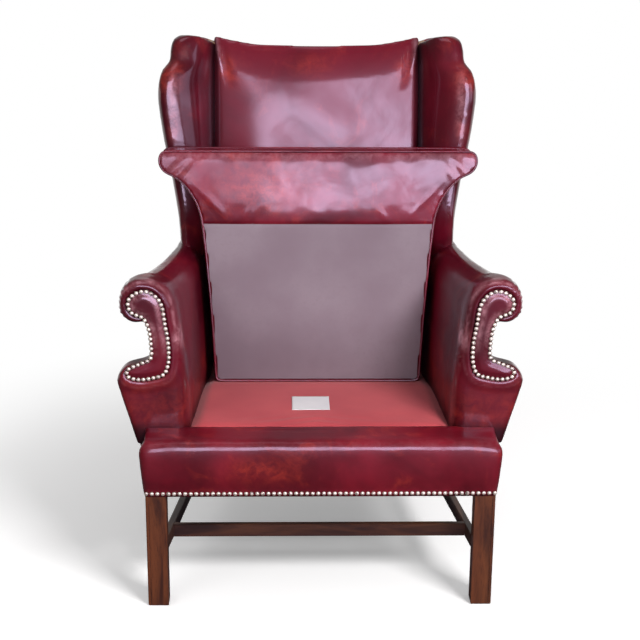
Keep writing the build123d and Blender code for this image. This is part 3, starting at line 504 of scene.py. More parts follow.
def wire(tree: bpy.types.NodeTree, node: bpy.types.Node, inputs: dict[str, object]) -> None:
    """Sets a node's inputs to values, or links them to sockets."""
    for name, value in inputs.items():
        socket = node.inputs[name.replace("_", " ")]
        if isinstance(value, bpy.types.NodeSocket):
            tree.links.new(value, socket)
        else:
            socket.default_value = value


def add_node(tree: bpy.types.NodeTree, kind: str, **inputs: object) -> bpy.types.Node:
    """A node of a kind in a tree, with some inputs set or linked."""
    node = tree.nodes.new(kind)
    wire(tree, node, inputs)
    return node


def mix_colours(tree: bpy.types.NodeTree, share: object, low: object, high: object) -> bpy.types.NodeSocket:
    """Socket with the colour between two colours by a share."""
    node = tree.nodes.new("ShaderNodeMix")
    node.data_type = "RGBA"
    for socket, value in ((node.inputs[0], share), (node.inputs[6], low), (node.inputs[7], high)):
        if isinstance(value, bpy.types.NodeSocket):
            tree.links.new(value, socket)
        else:
            socket.default_value = value
    return node.outputs[2]


def sums(tree: bpy.types.NodeTree, operation: str, *values: object) -> bpy.types.NodeSocket:
    """Socket with the result of a Math node."""
    node = tree.nodes.new("ShaderNodeMath")
    node.operation = operation
    for socket, value in zip(node.inputs, values):
        if isinstance(value, bpy.types.NodeSocket):
            tree.links.new(value, socket)
        else:
            socket.default_value = value
    return node.outputs[0]


def ranged(tree: bpy.types.NodeTree, value: object, low: float, high: float) -> bpy.types.NodeSocket:
    """Socket that rises from 0 to 1 while the value goes from low to high."""
    node = tree.nodes.new("ShaderNodeMapRange")
    node.interpolation_type = "SMOOTHSTEP"
    tree.links.new(value, node.inputs["Value"])
    node.inputs["From Min"].default_value = low
    node.inputs["From Max"].default_value = high
    return node.outputs[0]


def new_group(name: str, inputs: dict[str, str], outputs: dict[str, str]) -> tuple:
    """An empty node group.

    Args:
        name: its name.
        inputs: socket names to socket types.
        outputs: socket names to socket types.

    Returns:
        The tree, its input node and its output node.
    """
    tree = bpy.data.node_groups.new(name, "ShaderNodeTree")
    for words, direction in ((inputs, "INPUT"), (outputs, "OUTPUT")):
        for label, kind in words.items():
            tree.interface.new_socket(name=label, in_out=direction, socket_type=kind)
    return tree, tree.nodes.new("NodeGroupInput"), tree.nodes.new("NodeGroupOutput")


FLOAT, COLOUR, VECTOR = "NodeSocketFloat", "NodeSocketColor", "NodeSocketVector"


def mottling_group() -> bpy.types.NodeTree:
    """Group that gives broad cloudy patches and small blotches of hand-rubbed dye."""
    tree, given, result = new_group("mottling", {"Vector": VECTOR, "Scale": FLOAT},
                                    {"Clouds": FLOAT, "Blotches": FLOAT, "Streaks": FLOAT})
    clouds = add_node(tree, "ShaderNodeTexNoise", Vector=given.outputs["Vector"], Scale=given.outputs["Scale"],
                      Detail=4.0, Roughness=0.55, Distortion=0.4)
    finer = sums(tree, "MULTIPLY", given.outputs["Scale"], 2.3)
    shifted = add_node(tree, "ShaderNodeVectorMath", Vector=given.outputs["Vector"])
    shifted.inputs[1].default_value = (3.7, 1.9, 5.2)
    blotches = add_node(tree, "ShaderNodeTexNoise", Vector=shifted.outputs[0], Scale=finer, Detail=6.0,
                        Roughness=0.62, Distortion=0.7)
    finest = sums(tree, "MULTIPLY", given.outputs["Scale"], 9.0)
    streaks = add_node(tree, "ShaderNodeTexNoise", Vector=given.outputs["Vector"], Scale=finest, Detail=6.0,
                       Roughness=0.7, Distortion=0.5)
    tree.links.new(ranged(tree, clouds.outputs[0], 0.3, 0.7), result.inputs["Clouds"])
    tree.links.new(ranged(tree, blotches.outputs[0], 0.52, 0.8), result.inputs["Blotches"])
    tree.links.new(ranged(tree, streaks.outputs[0], 0.25, 0.8), result.inputs["Streaks"])
    return tree


def hide_group() -> bpy.types.NodeTree:
    """Group that gives the height of a hide's fine pebbling and soft pull wrinkles."""
    tree, given, result = new_group("hide surface",
                                    {"Vector": VECTOR, "Pebble Scale": FLOAT, "Wrinkle Scale": FLOAT},
                                    {"Height": FLOAT})
    pebbles = add_node(tree, "ShaderNodeTexVoronoi", Vector=given.outputs["Vector"],
                       Scale=given.outputs["Pebble Scale"], Randomness=1.0)
    wrinkles = add_node(tree, "ShaderNodeTexNoise", Vector=given.outputs["Vector"],
                        Scale=given.outputs["Wrinkle Scale"], Detail=5.0, Roughness=0.6, Distortion=0.9)
    low = sums(tree, "MULTIPLY", pebbles.outputs["Distance"], 0.25)
    tree.links.new(sums(tree, "ADD", low, wrinkles.outputs[0]), result.inputs["Height"])
    return tree


def weave_group() -> bpy.types.NodeTree:
    """Group that gives a plain weave's threads and its uneven yarn."""
    tree, given, result = new_group("plain weave", {"Vector": VECTOR, "Threads": FLOAT},
                                    {"Height": FLOAT, "Yarn": FLOAT})
    waves = []
    for direction in ("X", "Y"):
        wave = add_node(tree, "ShaderNodeTexWave", Vector=given.outputs["Vector"],
                        Scale=given.outputs["Threads"], Distortion=0.6, Detail=1.0)
        wave.bands_direction = direction
        waves.append(wave.outputs["Fac"])
    yarn = add_node(tree, "ShaderNodeTexNoise", Vector=given.outputs["Vector"],
                    Scale=90.0, Detail=5.0, Roughness=0.7)
    tree.links.new(sums(tree, "MULTIPLY", *waves), result.inputs["Height"])
    tree.links.new(yarn.outputs[0], result.inputs["Yarn"])
    return tree


def grain_group() -> bpy.types.NodeTree:
    """Group that gives the long figure, the pores and the worn patches of a waxed hardwood."""
    tree, given, result = new_group("hardwood", {"Vector": VECTOR},
                                    {"Figure": FLOAT, "Pores": FLOAT, "Wear": FLOAT})
    figure = add_node(tree, "ShaderNodeTexNoise", Vector=given.outputs["Vector"], Scale=9.0, Detail=6.0,
                      Roughness=0.6, Distortion=0.8)
    pores = add_node(tree, "ShaderNodeTexNoise", Vector=given.outputs["Vector"], Scale=110.0, Detail=3.0,
                     Roughness=0.7)
    wear = add_node(tree, "ShaderNodeTexNoise", Vector=given.outputs["Vector"], Scale=2.6, Detail=3.0)
    tree.links.new(ranged(tree, figure.outputs[0], 0.35, 0.68), result.inputs["Figure"])
    tree.links.new(ranged(tree, pores.outputs[0], 0.5, 0.72), result.inputs["Pores"])
    tree.links.new(ranged(tree, wear.outputs[0], 0.52, 0.7), result.inputs["Wear"])
    return tree


def rgb(red: int, green: int, blue: int) -> tuple[float, float, float, float]:
    """Linear colour of a screen colour given from 0 to 255."""
    channels = [value / 255 for value in (red, green, blue)]
    linear = [value / 12.92 if value <= 0.04045 else ((value + 0.055) / 1.055) ** 2.4 for value in channels]
    return (*linear, 1.0)


@dataclass(frozen=True)
class LeatherFinish:
    """Glazed hide, dyed by hand and worn through where it is touched, with painted highlights on its worn edges
    and painted shade in its crevices.
    """

    name: str
    deep: tuple = rgb(72, 6, 22)
    body: tuple = rgb(113, 12, 35)
    warm: tuple = rgb(190, 60, 46)
    # Pale lavender-pink that stands for worn hide and for painted highlights.
    scuff_and_highlight: tuple = rgb(224, 158, 172)
    # Painted shade: near-black red for crevices, seams and the feet of pieces.
    painted_crevice_shade: tuple = rgb(20, 3, 8)
    patch_scale: float = 4.5
    warm_share: float = 0.35
    roughness: float = 0.40
    glaze: float = 0.12
    pebble_scale: float = 900.0
    wrinkle_scale: float = 16.0
    bump: float = 0.12

    def build(self, groups: "Groups") -> bpy.types.Material:
        """Material of this finish."""
        shader = Shader(self.name)
        place = shader.node("ShaderNodeTexCoord").outputs["Object"]
        mottling = shader.group(groups.mottling, Vector=place, Scale=self.patch_scale)
        wear = shader.node("ShaderNodeAttribute")
        wear.attribute_name = "wear"
        shade = shader.node("ShaderNodeAttribute")
        shade.attribute_name = "shade"
        warm = shader.node("ShaderNodeAttribute")
        warm.attribute_name = "warm"
        dull = shader.node("ShaderNodeAttribute")
        dull.attribute_name = "dull"
        tree = shader.tree
        colour = shader.mix(mottling.outputs["Clouds"], self.deep, self.body)
        warmth = sums(tree, "MULTIPLY", mottling.outputs["Blotches"], self.warm_share)
        streaked = sums(tree, "MULTIPLY", warm.outputs["Fac"], mottling.outputs["Streaks"])
        warmth = sums(tree, "ADD", warmth, streaked)
        colour = shader.mix(sums(tree, "MINIMUM", warmth, 1.0), colour, self.warm)
        # Painted highlight: marked edges, which are also worn, are lightened toward a pale lavender-pink that
        # stands in for reflected light.
        rubbed_and_highlit = sums(tree, "MULTIPLY", wear.outputs["Fac"], mottling.outputs["Streaks"])
        colour = shader.mix(rubbed_and_highlit, colour, self.scuff_and_highlight)
        # Painted shade darkens crevices, seams and the feet of pieces toward a near-black red.
        colour = shader.mix(shade.outputs["Fac"], colour, self.painted_crevice_shade)
        hide = shader.group(groups.hide, Vector=place, Pebble_Scale=self.pebble_scale,
                            Wrinkle_Scale=self.wrinkle_scale)
        bump = shader.node("ShaderNodeBump", Height=hide.outputs["Height"], Strength=self.bump, Distance=0.004)
        rough = shader.node("ShaderNodeMapRange", Value=mottling.outputs["Clouds"])
        rough.inputs["To Min"].default_value = self.roughness - 0.06
        rough.inputs["To Max"].default_value = self.roughness + 0.05
        patches = shader.node("ShaderNodeTexNoise", Vector=place, Scale=self.patch_scale * 1.7, Detail=5.0,
                              Roughness=0.6, Distortion=0.6)
        polish = sums(tree, "MULTIPLY_ADD", ranged(tree, patches.outputs[0], 0.34, 0.62), 0.5, 0.55)
        flat = sums(tree, "MAXIMUM", dull.outputs["Fac"], shade.outputs["Fac"])
        polish = sums(tree, "MULTIPLY", polish, sums(tree, "SUBTRACT", 1.0, flat))
        shader.set(Base_Color=colour, Roughness=rough.outputs[0], Normal=bump.outputs[0], Coat_Weight=polish,
                   Coat_Roughness=self.glaze, Coat_IOR=1.5, Specular_IOR_Level=0.25)
        return shader.material


@dataclass(frozen=True)
class WoodFinish:
    """Waxed hardwood, its grain running along one axis."""

    name: str
    along: str
    dark: tuple = rgb(54, 24, 12)
    light: tuple = rgb(116, 62, 32)
    worn: tuple = rgb(150, 92, 54)
    roughness: float = 0.36

    def build(self, groups: "Groups") -> bpy.types.Material:
        """Material of this finish."""
        shader = Shader(self.name)
        place = shader.node("ShaderNodeTexCoord").outputs["Object"]
        stretch = [0.12 if axis == self.along else 1.0 for axis in "XYZ"]
        mapping = shader.node("ShaderNodeMapping", Vector=place, Scale=[4 * share for share in stretch])
        grain = shader.group(groups.grain, Vector=mapping.outputs[0])
        colour = shader.mix(grain.outputs["Figure"], self.dark, self.light)
        colour = shader.mix(sums(shader.tree, "MULTIPLY", grain.outputs["Wear"], 0.35), colour, self.worn)
        colour = shader.mix(sums(shader.tree, "MULTIPLY", grain.outputs["Pores"], 0.45), colour, self.dark)
        bump = shader.node("ShaderNodeBump", Height=grain.outputs["Pores"], Strength=0.12, Distance=0.001)
        bump.invert = True
        shader.set(Base_Color=colour, Roughness=self.roughness, Normal=bump.outputs[0], Coat_Weight=0.3,
                   Coat_Roughness=0.2)
        return shader.material


@dataclass(frozen=True)
class ClothFinish:
    """Woven cloth with soft shading and slubs."""

    name: str
    base: tuple
    shadow: tuple
    threads: float = 260.0
    lean: float = 0.0
    roughness: float = 0.85
    sheen: float = 0.15

    def build(self, groups: "Groups") -> bpy.types.Material:
        """Material of this finish."""
        shader = Shader(self.name)
        place = shader.node("ShaderNodeTexCoord").outputs["Object"]
        mapping = shader.node("ShaderNodeMapping", Vector=place, Rotation=(math.radians(self.lean), 0, 0))
        weave = shader.group(groups.weave, Vector=mapping.outputs[0], Threads=self.threads)
        broad = shader.node("ShaderNodeTexNoise", Vector=place, Scale=6.0, Detail=3.0)
        tree = shader.tree
        share = ranged(tree, broad.outputs[0], 0.3, 0.72)
        colour = shader.mix(share, self.shadow, self.base)
        yarns = sums(tree, "MULTIPLY", ranged(tree, weave.outputs["Yarn"], 0.45, 0.75), 0.35)
        colour = shader.mix(yarns, colour, self.shadow)
        # Painted shade: where the shade attribute is set, the cloth darkens toward a third of its darker tone.
        shade = shader.node("ShaderNodeAttribute")
        shade.attribute_name = "shade"
        dark = (*(0.3 * channel for channel in self.shadow[:3]), 1.0)
        colour = shader.mix(shade.outputs["Fac"], colour, dark)
        bump = shader.node("ShaderNodeBump", Height=weave.outputs["Height"], Strength=0.25, Distance=0.0006)
        shader.set(Base_Color=colour, Roughness=self.roughness, Normal=bump.outputs[0], Sheen_Weight=self.sheen,
                   Specular_IOR_Level=0.25)
        return shader.material


@dataclass(frozen=True)
class BrassFinish:
    """Antiqued nail heads, dark round the rim, with a pale cream painted highlight on the crown."""

    name: str
    crown_highlight: tuple = rgb(255, 246, 228)
    dark: tuple = rgb(52, 34, 26)
    metal: float = 0.55
    roughness: float = 0.38

    def build(self, groups: "Groups") -> bpy.types.Material:
        """Material of this finish."""
        shader = Shader(self.name)
        crown = shader.node("ShaderNodeAttribute")
        crown.attribute_name = "crown"
        place = shader.node("ShaderNodeTexCoord").outputs["Object"]
        tarnish = shader.node("ShaderNodeTexNoise", Vector=place, Scale=120.0, Detail=2.0)
        tree = shader.tree
        # Painted highlight: the base colour turns pale cream toward each head's crown.
        share = sums(tree, "MULTIPLY", ranged(tree, crown.outputs["Fac"], 0.12, 0.5),
                     ranged(tree, tarnish.outputs[0], 0.2, 0.5))
        shader.set(Base_Color=shader.mix(share, self.dark, self.crown_highlight), Metallic=self.metal,
                   Roughness=self.roughness)
        return shader.material


class Groups:
    """Node groups that several finishes share."""

    def __init__(self) -> None:
        """Builds each group once."""
        self.mottling = mottling_group()
        self.hide = hide_group()
        self.weave = weave_group()
        self.grain = grain_group()


class Palette:
    """Every finish of the chair."""

    def __init__(self) -> None:
        """Builds the materials."""
        groups = Groups()
        self.leather = LeatherFinish("hide, arms and back").build(groups)
        self.border = LeatherFinish("hide, seat front", deep=rgb(92, 8, 25), body=rgb(134, 18, 38),
                                    warm_share=0.6, patch_scale=6.5).build(groups)
        self.band = LeatherFinish("hide, cushion", deep=rgb(88, 10, 28), body=rgb(138, 26, 48),
                                  warm_share=0.5, patch_scale=7.0).build(groups)
        self.welt = LeatherFinish("hide, welts", deep=rgb(84, 8, 24), body=rgb(122, 20, 38),
                                  warm_share=0.2).build(groups)
        self.deck = ClothFinish("deck cloth", base=rgb(196, 79, 85), shadow=rgb(180, 68, 76)).build(groups)
        self.lining = ClothFinish("cushion lining", base=rgb(154, 138, 149), shadow=rgb(140, 122, 134),
                                  threads=420.0, lean=-98.0).build(groups)
        self.dust = ClothFinish("dust cloth", base=rgb(30, 29, 30), shadow=rgb(20, 19, 20)).build(groups)
        self.hessian = ClothFinish("jute", base=rgb(150, 122, 84), shadow=rgb(112, 88, 58),
                                   threads=90.0).build(groups)
        self.label = ClothFinish("blank patch", base=rgb(232, 230, 232), shadow=rgb(220, 218, 222),
                                 sheen=0.0).build(groups)
        self.label_edge = ClothFinish("patch stitching", base=rgb(60, 58, 66), shadow=rgb(44, 42, 50),
                                      sheen=0.0).build(groups)
        self.brass = BrassFinish("nail brass").build(groups)
        self.upright = WoodFinish("mahogany, upright grain", "Z").build(groups)
        self.across = WoodFinish("mahogany, grain across", "X", dark=rgb(48, 26, 18),
                                 light=rgb(92, 54, 36)).build(groups)
        # Painted reflection: the side stretchers' mahogany is greyer than the legs', for the greyish light that
        # they mirror.
        self.deep = WoodFinish("mahogany, grain front to back", "Y", dark=rgb(46, 28, 22),
                               light=rgb(86, 56, 44)).build(groups)
        self.beech = WoodFinish("beech", "X", dark=rgb(150, 112, 74), light=rgb(190, 152, 108),
                                worn=rgb(200, 165, 120), roughness=0.6).build(groups)


class Shop:
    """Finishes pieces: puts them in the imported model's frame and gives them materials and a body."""

    def __init__(self, front: float, palette: Palette) -> None:
        """Keeps the depth of the front legs' faces and the finishes."""
        self.front = front
        self.palette = palette

    def finish(self, piece: bpy.types.Object, materials: Iterable[bpy.types.Material],
               nodes: Sequence[str] = (), body: Body = Body.CHAIR) -> bpy.types.Object:
        """Hands a piece over.

        Args:
            piece: an object modelled with y = 0 at the front legs.
            materials: its finishes, in the order of its material indices.
            nodes: CAD nodes that it stands for.
            body: the body that it rides on.

        Returns:
            The same object.
        """
        piece.data.transform(Matrix.Translation((0, self.front, 0)))
        for material in materials:
            piece.data.materials.append(material)
        piece.data.shade_smooth()
        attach(piece, body.value)
        if nodes:
            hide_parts(*nodes)
        LOG.info("%s: %d faces", piece.name, len(piece.data.polygons))
        return piece


# ---------------------------------------------------------------------------------------------------------
# Shapes shared by several pieces


@dataclass(frozen=True)
class Rake:
    """Lines of the back that several pieces meet."""

    seat_base: float = 0.345
    post_rear: float = 0.650
    post_top: float = 1.116
    post_top_rear: float = 0.760
    face_low: Point = (0.420, 0.555)
    face_high: Point = (1.118, 0.712)
    crest_middle: float = 1.117
    crest_rise: float = 0.032
    crest_reach: float = 0.345
    crest_shares: tuple = ((0, 0), (0.38, 0.08), (0.72, 0.69), (0.81, 0.96), (0.92, 1.03), (1, 1.03))

    def rear(self, z: Array | float) -> Array | float:
        """Depth of the back posts' rear face at a height."""
        share = (z - self.seat_base) / (self.post_top - self.seat_base)
        return self.post_rear + (self.post_top_rear - self.post_rear) * share

    def face(self, z: Array | float) -> Array | float:
        """Depth of the inside back's side edge at a height."""
        share = (z - self.face_low[0]) / (self.face_high[0] - self.face_low[0])
        return self.face_low[1] + (self.face_high[1] - self.face_low[1]) * share

    def crest(self, x: Array | float) -> Array:
        """Height of the crest line at a distance from the middle."""
        left = [(-across, down) for across, down in reversed(self.crest_shares[1:])]
        line = smooth_line(left + list(self.crest_shares), 161)[80:]
        fall = np.interp(np.abs(x) / self.crest_reach, line[:, 0], line[:, 1])
        return self.crest_middle + self.crest_rise * fall


@dataclass(frozen=True)
class SeatLine:
    """Line of the deck from the lip to the back."""

    front: float = 0.100
    front_top: float = 0.384
    crown: float = 0.388
    crown_y: float = 0.235
    rest_y: float = 0.350
    level_y: float = 0.500
    cushion_y: float = 0.372
    cushion_z: float = 0.383
    lean: float = 8.0

    def rest(self, y: Array | float) -> Array | float:
        """Height of the deck where the cushion stands."""
        return self.cushion_z - 0.0003 - (y - self.cushion_y) * math.tan(math.radians(self.lean))

    def height(self, y: Array) -> Array:
        """Height of the deck at each depth."""
        arc = arc_through((self.front, self.front_top), (self.crown_y, self.crown),
                          (self.rest_y, float(self.rest(self.rest_y))), 40)
        over = np.interp(y, arc[:, 0], arc[:, 1])
        return np.where(y < self.rest_y, over, self.rest(np.minimum(y, self.level_y)))


@dataclass
class Arm:
    """Scrolled arm with its nailed facing."""

    front: float = 0.084
    outer_edge: Point = (0.012, 0.012)
    inner_edge: Point = (0.040, 0.034)
    spread: float = 0.0030
    recess: Point = (0.096, 0.165)
    recess_fall: float = 0.32
    dip: Point = (0.005, 0.007)
    depths: Point = (0.094, 0.480, 0.710)
    top: Point = (0.7150, 0.6810, 0.680)
    inner: Point = (0.281, 0.257, 0.2475)
    lean: Point = (0.087, 0.046, 0.034)
    outer: Point = (0.4335, 0.3275, 0.306)
    scroll: Point = (0.0725, -0.006, -0.004)
    inner_shares: tuple = ((0, 0), (0.03, 0.28), (0.08, 0.45), (0.16, 0.61), (0.22, 0.73), (0.31, 0.86),
                           (0.52, 0.945))
    roll_shares: tuple = ((0.52, 0.99), (0.23, 0.941), (0.13, 0.872), (0.17, 0.805), (0.465, 0.757),
                          (0.84, 0.757))
    side_shares: tuple = ((0.985, 0.700), (0.985, 0.613), (0.975, 0.536), (0.66, 0.497), (0.243, 0.472),
                          (0, 0.405), (0.085, 0.32), (0.310, 0.163), (0.54, 0))
    loop_shares: tuple = ((0.807, 0.896), (0.689, 0.936), (0.557, 0.941), (0.433, 0.909), (0.361, 0.858),
                          (0.321, 0.743), (0.282, 0.624), (0.289, 0.51), (0.354, 0.445), (0.525, 0.421),
                          (0.721, 0.413), (0.852, 0.431), (0.866, 0.466), (0.689, 0.507), (0.54, 0.537),
                          (0.524, 0.638), (0.563, 0.74), (0.63, 0.788), (0.774, 0.815), (0.82, 0.853))
    base: float = 0.345
    nail_pitch: float = 0.0107
    nail_radius: float = 0.0047
    nail_height: float = 0.0032
    facing_depth: float = 0.0047
    voxel: float = 0.0045

    def profile(self, y: float, count: int = 150) -> Array:
        """Closed outline of the arm at a depth, as (x, z) rows."""
        measures = (self.top, self.inner, self.lean, self.outer, self.scroll)
        values = [np.interp(y, self.depths, row) for row in measures]
        top, inner, lean, outer, scroll = values
        share = min(1.0, max(0.0, (y - self.depths[0]) / (self.depths[1] - self.depths[0])))
        dip = math.sin(math.pi * share)
        top, outer = top - self.dip[0] * dip, outer - self.dip[1] * dip
        height = top - self.base
        inside = [(inner + lean * x, self.base + height * z) for x, z in self.inner_shares]
        over = [(outer - scroll * x, self.base + height * z) for x, z in self.roll_shares]
        pull = float(ramp(np.array(y), *self.recess))
        fall = self.recess_fall * max(0.0, y - self.depths[0])
        side = []
        for x, z in self.side_shares:
            under = ramp(np.array(self.side_shares[1][1] - z), 0.05, 0.12)
            in_by = (0.93 - x) * pull * under * max(scroll, 0.05) * ramp(np.array(z), 0.10, 0.36)
            side.append((outer - scroll * x - in_by, max(self.base + height * z - fall * under, self.base)))
        upper = smooth_line([*inside, (inner + lean, top), *over], 90)
        lower = smooth_line([over[-1], *side], 70)
        ring = np.vstack([upper, lower[1:]])
        return evenly(np.vstack([ring, ring[:1]]), count, closed=True)

    def loop(self, count: int = 400) -> Array:
        """Line of the nails, as (x, z) rows."""
        span = self.outer[0] - self.inner[0]
        height = self.top[0] - self.base
        points = [(self.inner[0] + span * x, self.base + height * z) for x, z in self.loop_shares]
        return smooth_line(points, count, closed=True)

    def sections(self) -> Array:
        """Rings from the rounded front edge to behind the back post."""
        outline = self.profile(self.depths[0])
        loop = self.loop()
        inner = 1 - ramp(outline[:, 0], 0.315, 0.350)
        spread = self.spread * ramp(outline[:, 0], 0.375, 0.392)
        depth = self.outer_edge[0] + (self.inner_edge[0] - self.outer_edge[0]) * inner
        inset = self.outer_edge[1] + (self.inner_edge[1] - self.outer_edge[1]) * inner
        room = np.minimum(np.clip(distance_to(loop, outline) - 0.0025, 0.001, None), inset)
        for _ in range(6):
            room = (np.roll(room, 1) + 2 * room + np.roll(room, -1)) / 4
        along = np.roll(outline, -1, axis=0) - np.roll(outline, 1, axis=0)
        outward = np.stack([-along[:, 1], along[:, 0]], axis=1)
        outward /= np.maximum(np.linalg.norm(outward, axis=1), 1e-9)[:, None]
        if np.sum((outline - outline.mean(axis=0)) * outward) < 0:
            outward = -outward
        rings = []
        for turn in np.linspace(0, math.pi / 2, 9):
            y = self.front + depth * (1 - math.cos(turn))
            flat = outline + outward * (spread - room * (1 - math.sin(turn)))[:, None]
            rings.append(np.column_stack([flat[:, 0], y, flat[:, 1]]))
        start = self.front + self.inner_edge[0]
        for y in np.linspace(start + 0.006, self.depths[2], 44):
            share = min(1.0, (y - start) / 0.05)
            flat = self.profile(between(self.depths[0], y, share)) + outward * spread[:, None]
            rings.append(np.column_stack([flat[:, 0], np.full(len(flat), y), flat[:, 1]]))
        return np.array(rings)

    def body(self, rake: Rake) -> bpy.types.Object:
        """The right arm, padded and drawn in at the line of nails."""
        piece = remeshed(new_object("arm_right", skin(self.sections())), self.voxel, 3)
        places = vertices(piece)
        facing = normals(piece)
        flat = places[:, [0, 2]]
        near = places[:, 1] < self.front + 0.05
        gap = np.full(len(places), 1.0)
        gap[near] = distance_to(self.loop(), flat[near])
        forward = np.clip(-facing[:, 1], 0, 1)
        outside = ~inside_loop(self.loop(), flat)
        reach = np.clip(gap / 0.036, 0, 1)
        swell = 0.0042 * 6.75 * reach * (1 - reach) ** 2 * forward * outside * near
        tuck = 0.004 * bell(gap, 0.005) * forward * near
        places[:, 1] += tuck - swell
        places += self.pleats(places, gap, near)[:, None] * facing
        places[:, 1] = np.minimum(places[:, 1], rake.rear(np.maximum(places[:, 2], 0.345)) - 0.0005)
        move_vertices(piece, places)
        self.paint(piece, gap)
        return piece

    def pleats(self, places: Array, gap: Array, near: Array) -> Array:
        """Height of the fan of pleats round the outer scroll and of the creases inside it."""
        centre = (0.388, 0.664)
        angle = np.arctan2(places[:, 2] - centre[1], places[:, 0] - centre[0])
        fan = ramp(angle, -1.2, -0.5) * (1 - ramp(angle, 0.9, 1.5)) * ramp(places[:, 0], 0.39, 0.405)
        band = ramp(gap, 0.002, 0.008) * (1 - ramp(gap, 0.020, 0.036)) * near
        pleats = 0.0011 * np.sin(angle * 22) * fan * band
        low = bell(places[:, 2] - 0.545, 0.022) * bell(places[:, 0] - 0.300, 0.012) * near
        slant = np.arctan2(places[:, 2] - 0.60, places[:, 0] - 0.36)
        creases = 0.0009 * np.sin(slant * 46) * low
        return pleats + creases

    def paint(self, piece: bpy.types.Object, gap: Array) -> None:
        """Marks the arm's worn edges and its inner front edge with painted highlights, the line of nails and
        the foot with painted shade, and where the hide shines less or is warmer in tone.
        """
        places = vertices(piece)
        # Painted highlight: a lavender-pink line along the edge round the nails, stronger high up, and a patch
        # on the inner front edge.
        ridge = bell(gap - 0.019, 0.003) * (places[:, 1] < self.front + 0.03)
        above = ramp(places[:, 2], 0.57, 0.62)
        patch = (bell(places[:, 2] - 0.586, 0.020) * bell(places[:, 0] - 0.303, 0.009)
                 * (places[:, 1] < self.front + 0.04))
        paint(piece, "wear", np.maximum(ridge * (0.15 + 0.5 * above), 1.5 * patch))
        inward = ramp(np.abs(normals(piece)[:, 0]), 0.75, 0.95) * (places[:, 0] < 0.36)
        paint(piece, "dull", 0.85 * inward * ramp(places[:, 1], self.front + 0.02, self.front + 0.07))
        # Painted shade tight along the nails and low on the arm, where it meets the deck.
        paint(piece, "shade", 0.75 * bell(gap, 0.004) + 0.85 * (1 - ramp(places[:, 2], 0.372, 0.41)))
        paint(piece, "warm", 0.35 * bell(places[:, 2] - 0.42, 0.06))

    def facing(self) -> bpy.types.Object:
        """Padded panel inside the nails."""
        loop = self.loop(120)
        margin = 0.003
        along = np.roll(loop, -1, axis=0) - np.roll(loop, 1, axis=0)
        outward = np.stack([along[:, 1], -along[:, 0]], axis=1)
        outward /= np.linalg.norm(outward, axis=1)[:, None]
        if np.sum((loop - loop.mean(axis=0)) * outward) < 0:
            outward = -outward
        outline = loop + outward * margin

        def upright(points: Array, depth: float) -> Array:
            """Rows of (x, z) at a depth."""
            return np.column_stack([points[:, 0], np.full(len(points), depth), points[:, 1]])

        pad = prism(outline, upright, self.front + 0.004, self.front - self.facing_depth)
        piece = new_object("facing_pad_right", pad)
        remeshed(piece, 0.0026, 2)
        places = vertices(piece)
        gap = distance_to(loop, places[:, [0, 2]])
        forward = np.clip(-normals(piece)[:, 1], 0, 1)
        places[:, 1] -= 0.0042 * ramp(gap, 0.002, 0.016) * forward
        move_vertices(piece, places)
        # Painted highlight along the panel's border high up, and painted shade tight against the nails.
        paint(piece, "wear", 0.75 * bell(gap - 0.009, 0.006) * ramp(places[:, 2], 0.54, 0.60))
        paint(piece, "shade", 0.8 * bell(gap, 0.0035))
        paint(piece, "warm", np.zeros(len(places)))
        return piece

    def nails(self, side: Side) -> bpy.types.Object:
        """Nails round one facing."""
        loop = self.loop(1200)
        length = float(np.sum(np.linalg.norm(np.roll(loop, -1, axis=0) - loop, axis=1)))
        count = round(length / self.nail_pitch)
        ring = evenly(np.vstack([loop, loop[:1]]), count, closed=True)
        places = [(side.value * x, self.front - self.facing_depth, z) for x, z in ring]
        return nail_heads(f"arm_nail_heads_{side.word}", places, self.nail_radius, self.nail_height)

    def make(self, shop: Shop, rake: Rake) -> None:
        """Builds both arms with their facings and nails."""
        right = self.body(rake)
        facing = self.facing()
        pairs = ((Side.LEFT, mirrored_copy(right, "arm_left"), mirrored_copy(facing, "facing_pad_left")),
                 (Side.RIGHT, right, facing))
        for side, arm, panel in pairs:
            shop.finish(arm, [shop.palette.leather],
                        [f"inside_arm_{side.word}", f"outside_arm_{side.word}"])
            shop.finish(panel, [shop.palette.leather], [f"arm_facing_{side.word}"])
            shop.finish(self.nails(side), [shop.palette.brass], [f"arm_nails_{side.word}"])


def nail_heads(name: str, places: Sequence[Point], radius: float, height: float) -> bpy.types.Object:
    """A row of domed nail heads that face the viewer.

    Args:
        name: the piece's name.
        places: middle of each head's back.
        radius: a head's radius.
        height: a head's height.

    Returns:
        One object with every head.
    """
    mesh = bmesh.new()
    bmesh.ops.create_uvsphere(mesh, u_segments=10, v_segments=8, radius=1)
    bmesh.ops.bisect_plane(mesh, geom=[*mesh.verts, *mesh.edges, *mesh.faces], plane_co=(0, 0, 0),
                           plane_no=(0, 0, -1), clear_outer=True)
    bmesh.ops.scale(mesh, vec=(radius, radius, height), verts=mesh.verts)
    bmesh.ops.rotate(mesh, cent=(0, 0, 0), matrix=Matrix.Rotation(math.pi / 2, 3, "X"), verts=mesh.verts)
    head = bpy.data.meshes.new(name)
    mesh.to_mesh(head)
    mesh.clear()
    for place in places:
        start = len(mesh.verts)
        mesh.from_mesh(head)
        mesh.verts.ensure_lookup_table()
        bmesh.ops.translate(mesh, vec=place, verts=mesh.verts[start:])
    bpy.data.meshes.remove(head)
    piece = new_object(name, mesh)
    depth = np.array([place[1] for place in places])
    # The crown share, 0 at a head's rim and 1 at its top, places the brass's painted highlight.
    crown = (depth.mean() - vertices(piece)[:, 1]) / height
    paint(piece, "crown", crown)
    return piece


